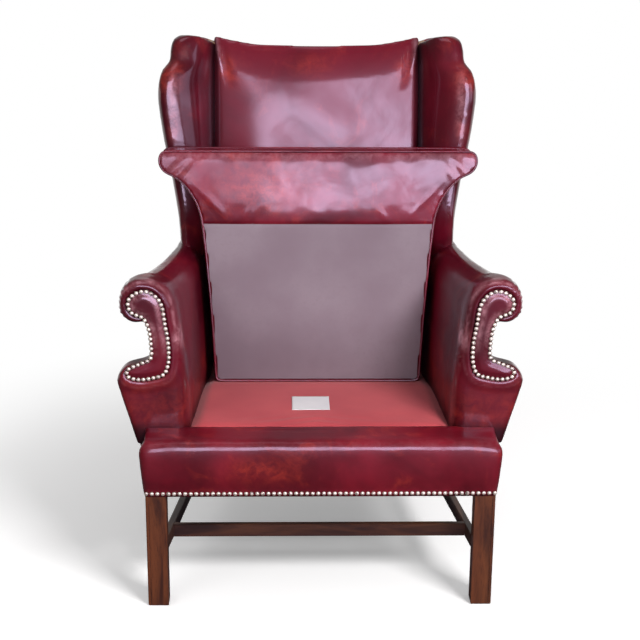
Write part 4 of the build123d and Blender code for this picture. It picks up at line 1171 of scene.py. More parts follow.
@dataclass
class Wings:
    """Padded wings with their outer panels."""

    bottom: float = 0.681
    top: float = 1.150
    half: float = 0.369
    front: float = 0.540
    setback: float = 0.100
    roll: float = 0.064
    nose: float = 0.026
    turn_share: float = 0.36
    seam_x: float = 0.245
    post_half: float = 0.302
    edge_shares: tuple = ((-0.075, 0.868, -0.62, 0.74), (0, 0.868, -0.62, 0.76), (0.051, 0.878, -0.32, 0.8),
                          (0.126, 0.893, 0, 0.86), (0.255, 0.922, 0.19, 0.92), (0.362, 0.946, 0.23, 0.96),
                          (0.469, 0.973, 0.26, 1), (0.608, 1.000, 0.31, 1), (0.709, 1.011, 0.34, 1),
                          (0.784, 1.003, 0.38, 1), (0.837, 0.980, 0.48, 1), (0.876, 0.938, 0.66, 0.95),
                          (0.931, 0.932, 0.76, 0.95), (0.979, 0.914, 0.88, 0.9), (1, 0.872, 1.02, 0.75),
                          (1.03, 0.84, 1.1, 0.7))
    fold_in: float = 0.022
    top_fall: float = 0.15
    top_round: float = 0.012
    top_depth: float = 0.115
    voxel: float = 0.004
    spread: float = 0.0018
    panel: float = 0.004

    def stations(self, count: int) -> Array:
        """Rows of height, half width, front and roll."""
        rows = [(between(self.bottom, self.top, height), self.half * width, self.front + self.setback * back,
                 self.roll * roll) for height, width, back, roll in self.edge_shares]
        knots = np.array(rows)
        heights = np.linspace(knots[0, 0], knots[-1, 0], count)
        line = smooth_line(knots, 400)
        columns = [np.interp(heights, line[:, 0], line[:, axis]) for axis in (1, 2, 3)]
        return np.column_stack([heights, *columns])

    def sections(self, rake: Rake) -> Array:
        """Rings of the right wing by height."""
        rings = []
        for z, half, front, roll in self.stations(64):
            rear = float(rake.rear(z)) - 0.001
            seam = (self.seam_x, float(rake.face(z)) + 0.005)
            nose = (half - self.turn_share * roll, front)
            chord = np.array(nose) - seam
            inward = np.array((-chord[1], chord[0])) / np.linalg.norm(chord)
            inward *= -math.copysign(1, inward[0]) * self.fold_in * roll / self.roll
            face = smooth_line([seam, *(np.array(seam) + chord * share + inward * rise
                                        for share, rise in ((0.25, 0.66), (0.5, 1.0), (0.78, 0.82))), nose], 40)
            turn = np.linspace(math.pi / 2, math.pi, 16)[1:-1]
            edge = np.column_stack([nose[0] - self.turn_share * roll * np.cos(turn),
                                    front + self.nose * (1 - np.sin(turn))])
            outer = np.array([(half, front + self.nose), (self.post_half + self.panel, rear),
                              (self.seam_x, rear), seam])
            flat = evenly(np.vstack([face, edge, outer]), 130, closed=True)
            rings.append(np.column_stack([flat, np.full(len(flat), z)]))
        return np.array(rings)

    def body(self, rake: Rake) -> bpy.types.Object:
        """The right wing, cut to the crest line and rounded."""
        piece = new_object("wing_right", skin(self.sections(rake)))
        places = vertices(piece)
        behind = np.clip(places[:, 1] - (self.front + self.setback), 0, None)
        limit = (rake.crest(places[:, 0]) - self.top_fall * behind
                 - self.top_round * (behind / self.top_depth) ** 4)
        places[:, 2] = np.minimum(places[:, 2], limit)
        move_vertices(piece, places)
        remeshed(piece, self.voxel, 5)
        places = vertices(piece)
        facing = normals(piece)
        seam = bell(places[:, 0] - self.seam_x, 0.008) * bell(places[:, 1] - rake.face(places[:, 2]), 0.03)
        places[:, 1] += 0.003 * seam * np.clip(-facing[:, 1], 0, 1)
        away = ramp(places[:, 0], self.seam_x + 0.01, self.seam_x + 0.04)
        places += ((0.0006 * soft_noise(places, 12, 4.2) + self.spread) * away)[:, None] * facing
        move_vertices(piece, places)
        # Painted highlight down the front of the roll, and painted shade in the seam against the inside back.
        depth = places[:, 1] - np.interp(places[:, 2], *self.stations(60).T[[0, 2]])
        edge = (1 - ramp(depth, 0.004, 0.022)) * bell(places[:, 2] - 1.0, 0.06)
        paint(piece, "wear", 0.6 * edge * bell(places[:, 0] - 0.338, 0.010))
        paint(piece, "shade", 0.97 * bell(places[:, 0] - self.seam_x, 0.014) * (facing[:, 1] < 0))
        rubbed_and_highlit = bell(places[:, 2] - 0.945, 0.022) * bell(places[:, 0] - 0.338, 0.010)
        upper = 0.75 * bell(places[:, 2] - 1.06, 0.03) * ramp(places[:, 0], 0.3, 0.34)
        paint(piece, "warm", upper + 0.7 * rubbed_and_highlit)
        return piece

    def outer_panel(self, rake: Rake) -> bpy.types.Object:
        """Leather panel on the right wing's outside."""
        rings = []
        for z, half, front, _ in self.stations(64):
            z = min(z, float(rake.crest(half)) - 0.02)
            rear = float(rake.rear(z)) - 0.001
            near, far = (half, front + self.nose + 0.004), (self.post_half + self.panel, rear)
            share = np.linspace(0, 1, 24)
            x = near[0] + (far[0] - near[0]) * share
            y = near[1] + (far[1] - near[1]) * share
            puff = 0.0016 + 0.0012 * np.sin(math.pi * share)
            outside = np.column_stack([x + puff, y])
            inside = np.column_stack([x - 0.003, y])[::-1]
            flat = np.vstack([outside, inside])
            rings.append(np.column_stack([flat, np.full(len(flat), z)]))
        piece = new_object("wing_outside_right", skin(np.array(rings)))
        plain_marks(piece)
        return piece

    def make(self, shop: Shop, rake: Rake) -> None:
        """Builds both wings."""
        right = self.body(rake)
        panel = self.outer_panel(rake)
        pairs = ((Side.LEFT, mirrored_copy(right, "wing_left"), mirrored_copy(panel, "wing_outside_left")),
                 (Side.RIGHT, right, panel))
        for side, wing, outside in pairs:
            shop.finish(wing, [shop.palette.leather], [f"inside_wing_{side.word}"])
            shop.finish(outside, [shop.palette.leather], [f"outside_wing_{side.word}"])


def plain_marks(piece: bpy.types.Object) -> None:
    """Gives a leather piece no worn edges with painted highlights, no painted shade at its seams and no warm
    patches of its own.
    """
    count = len(piece.data.vertices)
    for name in ("wear", "shade", "warm"):
        paint(piece, name, np.zeros(count))


@dataclass
class Back:
    """Inside back and outside back."""

    half: float = 0.2475
    crown: float = 0.025
    crest_crown: float = 0.012
    bottom: float = 0.366
    crest_round: Point = (0.046, 0.088)
    crest_tilts: Point = (13.0, 29.0)
    crest_edge: float = 0.015
    crest_lift: float = 0.001
    crest_fall: float = 0.016
    voxel: float = 0.0042
    outer_half: float = 0.306
    outer_thick: float = 0.004
    outer_drop: float = 0.018
    outer_bottom: float = 0.262
    outer_foot: float = 0.650
    outer_sag: float = 0.0022
    rail_top: float = 0.345

    def front_depth(self, x: Array | float, z: Array | float) -> Array:
        """Depth of the pad's face."""
        share = np.clip((z - self.bottom) / (1.15 - self.bottom), 0, 1)
        crown = self.crown + (self.crest_crown - self.crown) * share
        return face_depth(z) - crown * (1 - (np.asarray(x) / self.half) ** 2)

    def sections(self, rake: Rake) -> Array:
        """Rings of the pad across the chair."""
        rings = []
        for x in self.half * np.sin(np.linspace(-math.pi / 2, math.pi / 2, 60)):
            top = float(rake.crest(x)) + self.crest_lift
            tall = between(*self.crest_round, (1 - (x / self.half) ** 2) ** 0.5)
            low = np.linspace(self.bottom, top - tall, 60)
            face = np.column_stack([self.front_depth(x, low), low])
            lean = math.radians(self.crest_tilts[1])
            rise = tall - self.crest_edge * math.cos(lean)
            tilts = np.radians(np.linspace(*self.crest_tilts, 18))
            climb = np.column_stack([face[-1, 0] + np.cumsum(np.tan(tilts)) * rise / 18,
                                     top - tall + rise * np.arange(1, 19) / 18])
            turn = np.linspace(lean, math.pi / 2, 8)[1:]
            edge = np.column_stack([climb[-1, 0] + self.crest_edge * (np.sin(turn) - math.sin(lean)),
                                    climb[-1, 1] + self.crest_edge * (math.cos(lean) - np.cos(turn))])
            end = top - self.crest_fall
            rear = np.array([(float(rake.rear(z)) - 0.0005, z) for z in (end, 0.8, 0.6, self.bottom)])
            closed = np.vstack([face, climb, edge, rear, face[:1]])
            flat = evenly(closed, 220, closed=True)
            rings.append(np.column_stack([np.full(len(flat), x), flat]))
        return np.array(rings)

    def inside(self, rake: Rake) -> bpy.types.Object:
        """The inside back, puffed between its seams."""
        piece = remeshed(new_object("inside_back_pad", skin(self.sections(rake))), self.voxel, 3)
        places = vertices(piece)
        facing = normals(piece)
        forward = np.clip(-facing[:, 1], 0, 1)
        side_gap = self.half - np.abs(places[:, 0])
        places[:, 1] += 0.006 * bell(side_gap, 0.010) * forward
        down = rake.crest(places[:, 0]) - places[:, 2]
        line = side_gap - 0.004 - 0.18 * down
        fold = bell(line, 0.006) * (1 - ramp(down, 0.03, 0.085)) * forward
        places[:, 1] -= 0.006 * fold
        beside = bell(line - 0.014, 0.010) * (1 - ramp(down, 0.05, 0.12)) * forward
        places[:, 1] += 0.004 * beside
        places[:, 1] -= 0.0022 * soft_noise(places, 7, 2.5) * forward
        move_vertices(piece, places)
        # Painted highlight along the fold at the top corners, and painted shade down the sides where the pad
        # meets the wings.
        paint(piece, "wear", 0.7 * fold)
        paint(piece, "shade", 0.95 * bell(side_gap, 0.012) * forward)
        corner = bell(side_gap - 0.035, 0.02) * bell(down - 0.07, 0.03)
        middle = bell(places[:, 0] + 0.01, 0.035) * bell(down - 0.045, 0.022)
        paint(piece, "warm", 0.8 * corner + 0.6 * middle)
        return piece

    def outside(self, rake: Rake) -> bpy.types.Object:
        """The outside back's leather, from the crest to under the seat rail."""
        rings = []
        for x in self.outer_half * np.sin(np.linspace(-math.pi / 2, math.pi / 2, 48)):
            top = float(rake.crest(x)) - self.outer_drop
            low = np.linspace(self.outer_bottom, top, 90)
            depth = np.where(low < self.rail_top, self.outer_foot, rake.rear(low))
            share = np.clip((low - self.rail_top) / (top - self.rail_top), 0, 1)
            sag = self.outer_sag * (1 - (x / self.outer_half) ** 2) * np.sin(math.pi * share)
            near = np.column_stack([depth, low])
            far = np.column_stack([depth + self.outer_thick - sag, low])[::-1]
            flat = np.vstack([near, far])
            rings.append(np.column_stack([np.full(len(flat), x), flat]))
        piece = new_object("outside_back_panel", skin(np.array(rings)))
        plain_marks(piece)
        return piece

    def make(self, shop: Shop, rake: Rake) -> None:
        """Builds the inside and the outside back."""
        shop.finish(self.inside(rake), [shop.palette.leather], ["inside_back"])
        shop.finish(self.outside(rake), [shop.palette.leather], ["outside_back"])


def face_depth(z: Array | float) -> Array | float:
    """Depth of the inside back's side edge at a height."""
    return Rake().face(z)


@dataclass
class SeatFront:
    """Leather lip, front rail cover, side borders and the row of nails."""

    bottom: float = 0.2595
    half_shares: tuple = ((0.2595, 0.379), (0.34, 0.3853), (0.362, 0.3872), (0.374, 0.3855), (0.386, 0.3755))
    corner: float = 0.016
    strip: float = -0.003
    front_points: tuple = ((-0.003, 0.2595), (-0.003, 0.274), (-0.0065, 0.288), (-0.0095, 0.304),
                           (-0.0107, 0.322), (-0.0108, 0.345), (-0.0101, 0.360), (-0.0089, 0.3695),
                           (-0.0066, 0.3780), (-0.0032, 0.3833), (0.0030, 0.3864), (0.0120, 0.3878),
                           (0.030, 0.3878), (0.045, 0.3870), (0.0997, 0.3845))
    rail_back: float = 0.030
    seat_base: float = 0.345
    leg_inner: float = 0.346
    nail_pitch: float = 0.0118
    nail_end: float = 0.003
    nail_z: float = 0.269
    leg_half: float = 0.375
    voxel: float = 0.004
    seam_y: float = 0.0997
    cover_depths: Point = (0.098, 0.6495)
    leg_taper: float = 0.073
    leg_front: float = 0.0445
    leg_run: float = 0.5595
    arm_depths: Point = (0.094, 0.48, 0.71)
    arm_foot: Point = (0.3929, 0.3327, 0.3059)
    cover_puff: float = 0.0015
    cover_top: float = 0.3455
    cover_turn: float = 0.3490
    cover_bottom: float = 0.262
    turn_in: Point = (0.004, 0.046)

    def section(self, closed_end: bool) -> Array:
        """Closed ring of the cover as (y, z) rows."""
        front = smooth_line(self.front_points, 70)
        step = self.bottom + 0.001 if closed_end else self.seat_base
        rest = np.array([(self.seam_y, step), (self.rail_back, step), (self.rail_back, self.bottom),
                         self.front_points[0]])
        return evenly(np.vstack([front, rest]), 110, closed=True)

    def cover(self) -> bpy.types.Object:
        """Lip and rail cover in one piece, wrapped round the corners."""
        heights, widths = zip(*self.half_shares)
        full = max(widths)
        turns = np.linspace(0, math.pi / 2, 9)
        end = [(full - self.corner + self.corner * math.sin(turn), self.corner * (1 - math.cos(turn)))
               for turn in turns]
        half = [(x, 0.0) for x in (*np.linspace(0.02, self.leg_inner - 0.001, 16), self.leg_inner)] + end
        stations = [(-x, shift) for x, shift in reversed(half)] + [(0.0, 0.0)] + half
        rings = []
        for x, shift in stations:
            flat = self.section(abs(x) >= self.leg_inner)
            y = flat[:, 0] + shift * (1 - ramp(flat[:, 0], 0.02, 0.05))
            scale = np.interp(flat[:, 1], heights, widths) / full
            rings.append(np.column_stack([x * scale, y, flat[:, 1]]))
        piece = remeshed(new_object("seat_front_cover", skin(np.array(rings))), self.voxel, 3)
        places = vertices(piece)
        facing = normals(piece)
        up = np.clip(facing[:, 2], 0, 1) * (places[:, 2] > 0.36)
        forward = np.clip(-facing[:, 1], 0, 1)
        ends = ramp(np.abs(places[:, 0]), 0.30, 0.375) * ramp(places[:, 2], 0.33, 0.375)
        places[:, 2] -= 0.004 * ends * (1 - ramp(places[:, 1], 0.02, 0.06))
        lip = soft_noise(places * (1, 1, 0), 14, 8.1)
        sag = bell(places[:, 0] + 0.09, 0.12) * bell(places[:, 1] - 0.078, 0.018)
        rucks = np.sin((places[:, 1] + 0.06 * places[:, 0]) * 520) * sag
        tuck = 0.002 * bell(places[:, 1] - 0.1, 0.012)
        places[:, 2] += up * (0.0010 * lip + 0.0008 * rucks - 0.0025 * sag - tuck)
        pulls = np.sin(places[:, 0] * 190 + 3 * soft_noise(places, 6, 1.3)) * bell(places[:, 2] - 0.283, 0.009)
        places[:, 1] += forward * (0.0005 * pulls + 0.0008 * soft_noise(places, 20, 3.3))
        move_vertices(piece, places)
        # A faint painted highlight along the lip's front edge.
        ridge = bell(places[:, 2] - 0.381, 0.006) * (places[:, 1] < 0.03)
        paint(piece, "wear", 0.10 * ridge)
        paint(piece, "dull", 0.75 * up)
        # Painted shade along the seam with the deck cloth and at the cover's lower hem.
        seam = 0.9 * bell(places[:, 1] - self.seam_y, 0.007)
        hem = 0.5 * (1 - ramp(places[:, 2], 0.262, 0.268))
        paint(piece, "shade", seam + hem)
        paint(piece, "warm", 0.7 * bell(places[:, 0] + 0.13, 0.07) * bell(places[:, 2] - 0.325, 0.03) * forward)
        return piece

    def side_cover(self) -> bpy.types.Object:
        """Leather over the right side rail."""
        rings = []
        for share in np.linspace(0, 1, 30):
            y = between(*self.cover_depths, share)
            rail = self.leg_half - self.leg_taper * (y - self.leg_front) / self.leg_run
            base = np.interp(y, self.arm_depths, self.arm_foot)
            lower = between(rail, base, 0.35) + 0.003 + self.cover_puff
            upper = between(rail, base, 0.7) + 0.001 + self.cover_puff
            outer = smooth_line([(rail + 0.003, self.cover_bottom), (lower, 0.29), (upper, 0.32),
                                 (base, self.cover_top)], 24)
            near, far = (base - step for step in self.turn_in)
            inner = np.array([(near, self.cover_turn), (far, self.cover_turn), (far, self.cover_top),
                              (rail - 0.001, self.cover_top), (rail - 0.001, self.cover_bottom)])
            flat = np.vstack([outer, inner])
            rings.append(np.column_stack([flat[:, 0], np.full(len(flat), y), flat[:, 1]]))
        piece = new_object("side_cover_right", skin(np.array(rings)))
        plain_marks(piece)
        return piece

    def make(self, shop: Shop) -> None:
        """Builds the covers and the front row of nails."""
        shop.finish(self.cover(), [shop.palette.border], ["front_border"])
        right = self.side_cover()
        left = mirrored_copy(right, "side_cover_left")
        shop.finish(left, [shop.palette.leather], ["side_border_left"])
        shop.finish(right, [shop.palette.leather], ["side_border_right"])
        end = self.leg_half - self.nail_end
        count = round(2 * end / self.nail_pitch)
        places = [(between(-end, end, number / count), self.strip, self.nail_z) for number in range(count + 1)]
        row = nail_heads("front_nail_heads", places, 0.0047, 0.0032)
        shop.finish(row, [shop.palette.brass], ["front_rail_nails"])


@dataclass
class Deck:
    """Deck cloth over the seat's stuffing, with its blank patch."""

    line: SeatLine = field(default_factory=SeatLine)
    back: float = 0.614
    patch_low: Point = (-0.061, 0.180)
    patch_high: Point = (0.023, 0.260)
    edge: float = 0.004
    depths: Point = (0.094, 0.48, 0.71)
    seam_half: Point = (0.284, 0.259, 0.249)
    cloth_half: Point = (0.290, 0.265, 0.255)
    stuffing: float = 0.016
    patch_lift: float = 0.0009
    patch_thick: float = 0.0008

    def heights(self, x: Array, y: Array) -> Array:
        """Height of the cloth at each place."""
        half = np.interp(y, self.depths, self.seam_half)
        tuck = 0.016 * ramp(np.abs(x) / half, 0.9, 1.04)
        places = np.column_stack([x, y * 1.4, np.zeros_like(x)])
        ruck = 0.0016 * soft_noise(places, 11, 6.4) * bell(y - 0.14, 0.05)
        pull = 0.0012 * np.sin((y + 0.25 * np.abs(x)) * 230) * bell(y - 0.125, 0.022) * bell(x + 0.03, 0.11)
        resting = 1 - ramp(y, 0.32, 0.36)
        return self.line.height(y) - tuck + (ruck + pull) * resting - 0.0035 * bell(y - 0.099, 0.009)

    def cloth(self) -> bpy.types.Object:
        """The cloth with a thickness."""
        mesh = bmesh.new()
        columns, rows = 110, 100
        bmesh.ops.create_grid(mesh, x_segments=columns, y_segments=rows, size=1)
        for vert in mesh.verts:
            y = between(self.line.front, self.back, (vert.co.y + 1) / 2)
            half = float(np.interp(y, self.depths, self.cloth_half))
            vert.co = (vert.co.x * half, y, 0)
        piece = new_object("deck_cloth_cover", mesh)
        places = vertices(piece)
        places[:, 2] = self.heights(places[:, 0], places[:, 1])
        move_vertices(piece, places)
        wall = piece.modifiers.new("stuffing", "SOLIDIFY")
        wall.thickness = self.stuffing
        wall.offset = -1
        applied(piece)
        return piece

    def patch(self) -> bpy.types.Object:
        """A plain sewn patch with a stitched edge, lying on the cloth."""
        mesh = bmesh.new()
        bmesh.ops.create_grid(mesh, x_segments=24, y_segments=24, size=1)
        for vert in mesh.verts:
            vert.co.x = between(self.patch_low[0], self.patch_high[0], (vert.co.x + 1) / 2)
            vert.co.y = between(self.patch_low[1], self.patch_high[1], (vert.co.y + 1) / 2)
        for face in bmesh.ops.inset_region(mesh, faces=mesh.faces, thickness=self.edge, depth=0)["faces"]:
            face.material_index = 1
        plain = [face for face in mesh.faces if face.material_index == 0]
        bmesh.ops.inset_region(mesh, faces=plain, thickness=self.edge / 2, depth=0)
        piece = new_object("deck_patch", mesh)
        places = vertices(piece)
        places[:, 2] = self.heights(places[:, 0], places[:, 1]) + self.patch_lift
        move_vertices(piece, places)
        wall = piece.modifiers.new("thickness", "SOLIDIFY")
        wall.thickness = self.patch_thick
        wall.offset = 0
        applied(piece)
        return piece

    def make(self, shop: Shop) -> None:
        """Builds the cloth and the patch."""
        shop.finish(self.cloth(), [shop.palette.deck], ["deck_cover", "seat_stuffing"])
        shop.finish(self.patch(), [shop.palette.label, shop.palette.label_edge])


@dataclass
class Cushion:
    """Loose T-shaped cushion, stood up on its back edge."""

    y: float = 0.372
    z: float = 0.383
    lean: float = 8.0
    length: float = 0.540
    half: float = 0.3635
    thick: float = 0.110
    band: float = 0.371
    crown: float = 0.017
    base_crown: float = 0.007
    welt: float = 0.0026
    side_shares: tuple = ((0.659, 0), (0.69, 0.348), (0.737, 0.687))
    neck_shares: tuple = ((0.797, 0.806), (0.913, 0.889))
    ear_shares: tuple = ((1.010, 0.955), (0.984, 1))
    creases: tuple = ((-0.150, 0.392, 0.5, 0.018), (-0.172, 0.390, 0.7, 0.016), (-0.255, 0.430, -0.9, 0.030),
                      (-0.235, 0.415, -0.7, 0.026), (0.245, 0.425, 0.9, 0.030), (0.150, 0.390, -0.6, 0.014))
    waist: float = 0.003
    voxel: float = 0.0060

    def outline(self, inset: float) -> Array:
        """Closed outline in the cushion's plane, drawn in by an inset."""
        def scaled(shares: Sequence[Point]) -> list[Point]:
            """Shares of the half width and length as places."""
            return [(self.half * x, self.length * y) for x, y in shares]

        side, neck, ear = scaled(self.side_shares), scaled(self.neck_shares), scaled(self.ear_shares)
        right = np.vstack([arc_through(*side, 40), arc_through(side[-1], *neck, 24)[1:],
                           arc_through(neck[-1], *ear, 20)[1:]])
        left = right[::-1] * (-1, 1)
        ring = evenly(np.vstack([right, left, right[:1]]), 640, closed=True)
        for _ in range(4):
            ring = (np.roll(ring, 2, axis=0) + np.roll(ring, -2, axis=0) + 2 * ring) / 4
        along = np.roll(ring, -1, axis=0) - np.roll(ring, 1, axis=0)
        outward = np.stack([along[:, 1], -along[:, 0]], axis=1)
        outward /= np.linalg.norm(outward, axis=1)[:, None]
        if np.sum((ring - ring.mean(axis=0)) * outward) < 0:
            outward = -outward
        return ring - outward * inset

    def stand(self, points: Array) -> Array:
        """Rows of (across, along, out of the underside) where the cushion stands."""
        lean = math.radians(self.lean)
        along = np.array((0, math.sin(lean), math.cos(lean)))
        out = np.array((0, -math.cos(lean), math.sin(lean)))
        return (np.array((0, self.y, self.z)) + points[:, :1] * (1, 0, 0) + points[:, 1:2] * along
                + points[:, 2:3] * out)

    def body(self) -> bpy.types.Object:
        """The stuffed cushion without its welts."""
        outline = self.outline(self.welt)

        def level(points: Array, height: float) -> Array:
            """Rows in the cushion's own axes at one level."""
            return np.column_stack([points, np.full(len(points), height)])

        piece = remeshed(new_object("cushion_body", prism(outline, level, -self.thick, 0.0)), self.voxel, 2)
        move_vertices(piece, self.drawn_to(outline, vertices(piece)))
        self.divide(piece)
        places = vertices(piece)
        gap = distance_to(outline, places[:, :2])
        base_side = places[:, 2] > -self.thick / 2
        level_gap = np.minimum(np.abs(places[:, 2]), np.abs(places[:, 2] + self.thick))
        seam = (gap < 0.9 * self.voxel) & (level_gap < 0.9 * self.voxel)
        boxing = (gap < 0.012) & ~seam
        cap = np.where(base_side, self.base_crown, self.crown)
        cap = np.where(boxing, 0.003, cap)
        inflated(piece, seam.astype(float), 4.0, cap)
        self.sew(piece)
        return piece

    def drawn_to(self, outline: Array, places: Array) -> Array:
        """Vertices with the side wall drawn out to the seams and a little in between them."""
        tree = kdtree.KDTree(len(outline))
        for number, (x, y) in enumerate(outline):
            tree.insert((x, y, 0), number)
        tree.balance()
        middle = np.array((0, self.length / 2))
        moved = places.copy()
        for number, place in enumerate(places):
            (x, y, _), _, gap = tree.find((place[0], place[1], 0))
            level = 0.0 if place[2] > -self.thick / 2 else -self.thick
            on_wall = abs(place[2] - level) > 0.6 * self.voxel
            if gap < 0.6 * self.voxel or (on_wall and gap < 1.7 * self.voxel):
                waist = self.waist * math.sin(math.pi * min(1, max(0, -place[2] / self.thick)))
                inward = middle - (x, y)
                inward /= np.linalg.norm(inward)
                moved[number, :2] = np.array((x, y)) + inward * (waist + 0.0006)
                if not on_wall:
                    moved[number, 2] = level
        return moved

    def divide(self, piece: bpy.types.Object) -> None:
        """Cuts the underside where its leather band meets the cloth, and gives the cloth's faces the second
        material index.
        """
        mesh = bmesh.new()
        mesh.from_mesh(piece.data)
        for vert in mesh.verts:
            if abs(vert.co.y - self.band) < 0.3 * self.voxel and vert.co.z > -0.002:
                vert.co.y = self.band
        base = [face for face in mesh.faces if face.calc_center_median().z > -0.002]
        geom = [*base, *{edge for face in base for edge in face.edges},
                *{vert for face in base for vert in face.verts}]
        bmesh.ops.bisect_plane(mesh, geom=geom, plane_co=(0, self.band, 0), plane_no=(0, 1, 0), dist=1e-5)
        for face in mesh.faces:
            middle = face.calc_center_median()
            if middle.z > -0.002 and middle.y < self.band:
                face.material_index = 1
        mesh.to_mesh(piece.data)
        mesh.free()

    def sew(self, piece: bpy.types.Object) -> None:
        """Smooths the skin and works in the band's fold, its creases and the cloth's rucks."""
        subdivide = piece.modifiers.new("smooth skin", "SUBSURF")
        subdivide.levels = subdivide.render_levels = 1
        applied(piece)
        places = vertices(piece)
        facing = normals(piece)
        out = np.clip(facing[:, 2], 0, 1) * (places[:, 2] > -0.02)
        step = ramp(places[:, 1], self.band - 0.0006, self.band + 0.0012)
        places[:, 2] += out * (0.0012 * step - 0.0012 * bell(places[:, 1] - self.band, 0.004))
        ruck = soft_noise(places * (1.0, 0.55, 1.0), 9, 5.5)
        cloth = out * (1 - step)
        places[:, 2] += 0.0011 * ruck * cloth
        stretch = places * (0.55, 1.0, 1.0)
        waves = 0.0010 * soft_noise(stretch, 13, 7.7) + 0.0004 * soft_noise(places, 34, 2.2)
        places[:, 2] += waves * out * step
        places[:, 2] += 0.0012 * self.pulls(places) * out * step
        ear = bell(np.abs(places[:, 0]) - 0.318, 0.03) * bell(places[:, 1] - 0.497, 0.024)
        slant = np.abs(places[:, 0]) + 0.8 * places[:, 1]
        places[:, 2] += 0.0011 * np.sin(slant * 150 + 3 * soft_noise(places, 9, 3.1)) * ear * out
        roll = 1 - np.exp(-np.clip(places[:, 1] - self.band, 0, None) / 0.022)
        roll *= 1 - np.exp(-np.clip(self.length - places[:, 1], 0, None) / 0.02)
        places[:, 2] += 0.0045 * out * step * roll
        use = np.clip(-facing[:, 2], 0, 1) * (places[:, 2] < -self.thick + 0.03)
        places[:, 2] += 0.002 * soft_noise(places, 9, 9.9) * use
        move_vertices(piece, places)
        # Painted highlight along the band's top edge and over the ear creases.
        top = bell(places[:, 1] - self.length + 0.012, 0.012)
        paint(piece, "wear", 0.3 * out * step * (top + ear))
        left = ramp(-places[:, 0], 0.06, 0.16) * out * step
        paint(piece, "dull", 0.7 * left * (1 - top))
        # Painted shade on the lining, darker towards the cushion's foot on the deck.
        paint(piece, "shade", 0.30 * (1 - ramp(places[:, 1], 0.02, 0.20)) * out)
        paint(piece, "warm", 0.8 * out * bell(places[:, 1] - 0.455, 0.05) * bell(places[:, 0] + 0.14, 0.1))

    def pulls(self, places: Array) -> Array:
        """Height of the slanting creases low in the band's left corner and at its foot."""
        height = np.zeros(len(places))
        for x, y, slope, length in self.creases:
            across = (places[:, 0] - x) - slope * (places[:, 1] - y)
            height += 0.7 * bell(across, 0.009) * bell(places[:, 1] - y, length)
        return height

    def welts(self, level: float, name: str) -> bpy.types.Object:
        """Piping along one seam."""
        ring = self.outline(self.welt)
        curve = bpy.data.curves.new(name, "CURVE")
        curve.dimensions = "3D"
        curve.bevel_depth = self.welt
        curve.bevel_resolution = 3
        spline = curve.splines.new("POLY")
        spline.points.add(len(ring) - 1)
        for point, (x, y) in zip(spline.points, ring):
            point.co = (x, y, level, 1)
        spline.use_cyclic_u = True
        holder = bpy.data.objects.new(name, curve)
        bpy.context.scene.collection.objects.link(holder)
        bpy.context.view_layer.update()
        data = bpy.data.meshes.new_from_object(holder.evaluated_get(bpy.context.evaluated_depsgraph_get()))
        bpy.data.objects.remove(holder)
        piece = bpy.data.objects.new(name, data)
        bpy.context.scene.collection.objects.link(piece)
        plain_marks(piece)
        return piece

    def make(self, shop: Shop) -> None:
        """Builds the cushion and its two welts where it stands."""
        body = self.body()
        base_welt = self.welts(0.0, "cushion_welt_base")
        top_welt = self.welts(-self.thick, "cushion_welt_top")
        for piece in (body, base_welt, top_welt):
            move_vertices(piece, self.stand(vertices(piece)))
        palette = shop.palette
        shop.finish(body, [palette.band, palette.lining],
                    ["cushion_filling", "cushion_top_cover", "cushion_boxing", "cushion_base_band",
                     "cushion_base_cloth"], Body.CUSHION)
        shop.finish(base_welt, [palette.welt], ["cushion_base_welt"], Body.CUSHION)
        shop.finish(top_welt, [palette.welt], ["cushion_top_welt"], Body.CUSHION)


@dataclass
class Underside:
    """Dust cloth tacked under the seat frame."""

    level: float = 0.2655
    sag: float = 0.006
    front: float = 0.015
    back: float = 0.633
    front_half: float = 0.358
    back_half: float = 0.282

    def make(self, shop: Shop) -> None:
        mesh = bmesh.new()
        bmesh.ops.create_grid(mesh, x_segments=60, y_segments=50, size=1)
        for vert in mesh.verts:
            across, along = vert.co.x, vert.co.y
            half = between(self.front_half, self.back_half, (along + 1) / 2)
            dip = self.sag * (1 - across**2) * (1 - along**2)
            vert.co = (across * half, between(self.front, self.back, (along + 1) / 2), self.level - dip)
        piece = new_object("dust_cloth_sheet", mesh)
        shop.finish(piece, [shop.palette.dust], ["dust_cover"])


def dress_frame(nodes: dict[str, bpy.types.Object], palette: Palette) -> None:
    """Gives every CAD node that shows, or lies inside, its finish.

    Args:
        nodes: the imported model's nodes by name.
        palette: the finishes.
    """
    starts = {
        "front_leg": palette.upright, "back_leg": palette.upright, "cross_stretcher": palette.across,
        "back_stretcher": palette.across, "side_stretcher": palette.deep, "seat_webbing": palette.hessian,
        "back_webbing": palette.hessian, "seat_hessian": palette.hessian, "front_seat_rail": palette.beech,
        "back_seat_rail": palette.beech, "side_seat_rail": palette.beech, "corner_blocks": palette.beech,
        "arm_post": palette.beech, "arm_rail": palette.beech, "wing_post": palette.beech,
        "wing_rail": palette.beech, "crest_rail": palette.beech, "stay_rail": palette.beech,
    }
    for name, node in nodes.items():
        for start, material in starts.items():
            if name.startswith(start):
                node.data.materials.clear()
                node.data.materials.append(material)


# ---------------------------------------------------------------------------------------------------------
# Studio


@dataclass(frozen=True)
class Lamp:
    """Soft rectangular lamp that glazed leather mirrors, or one that only lights."""

    name: str
    place: Point
    target: Point
    size: Point
    power: float
    colour: Point
    mirrored: bool

    def hang(self) -> None:
        """Adds the lamp to the scene."""
        data = bpy.data.lights.new(self.name, "AREA")
        data.shape = "RECTANGLE"
        data.size, data.size_y = self.size
        data.energy = self.power
        data.color = self.colour
        lamp = bpy.data.objects.new(self.name, data)
        turn = (Vector(self.target) - Vector(self.place)).to_track_quat("-Z", "Y").to_matrix().to_4x4()
        lamp.matrix_world = Matrix.Translation(self.place) @ turn
        lamp.visible_glossy = self.mirrored
        lamp.visible_diffuse = not self.mirrored
        bpy.context.scene.collection.objects.link(lamp)


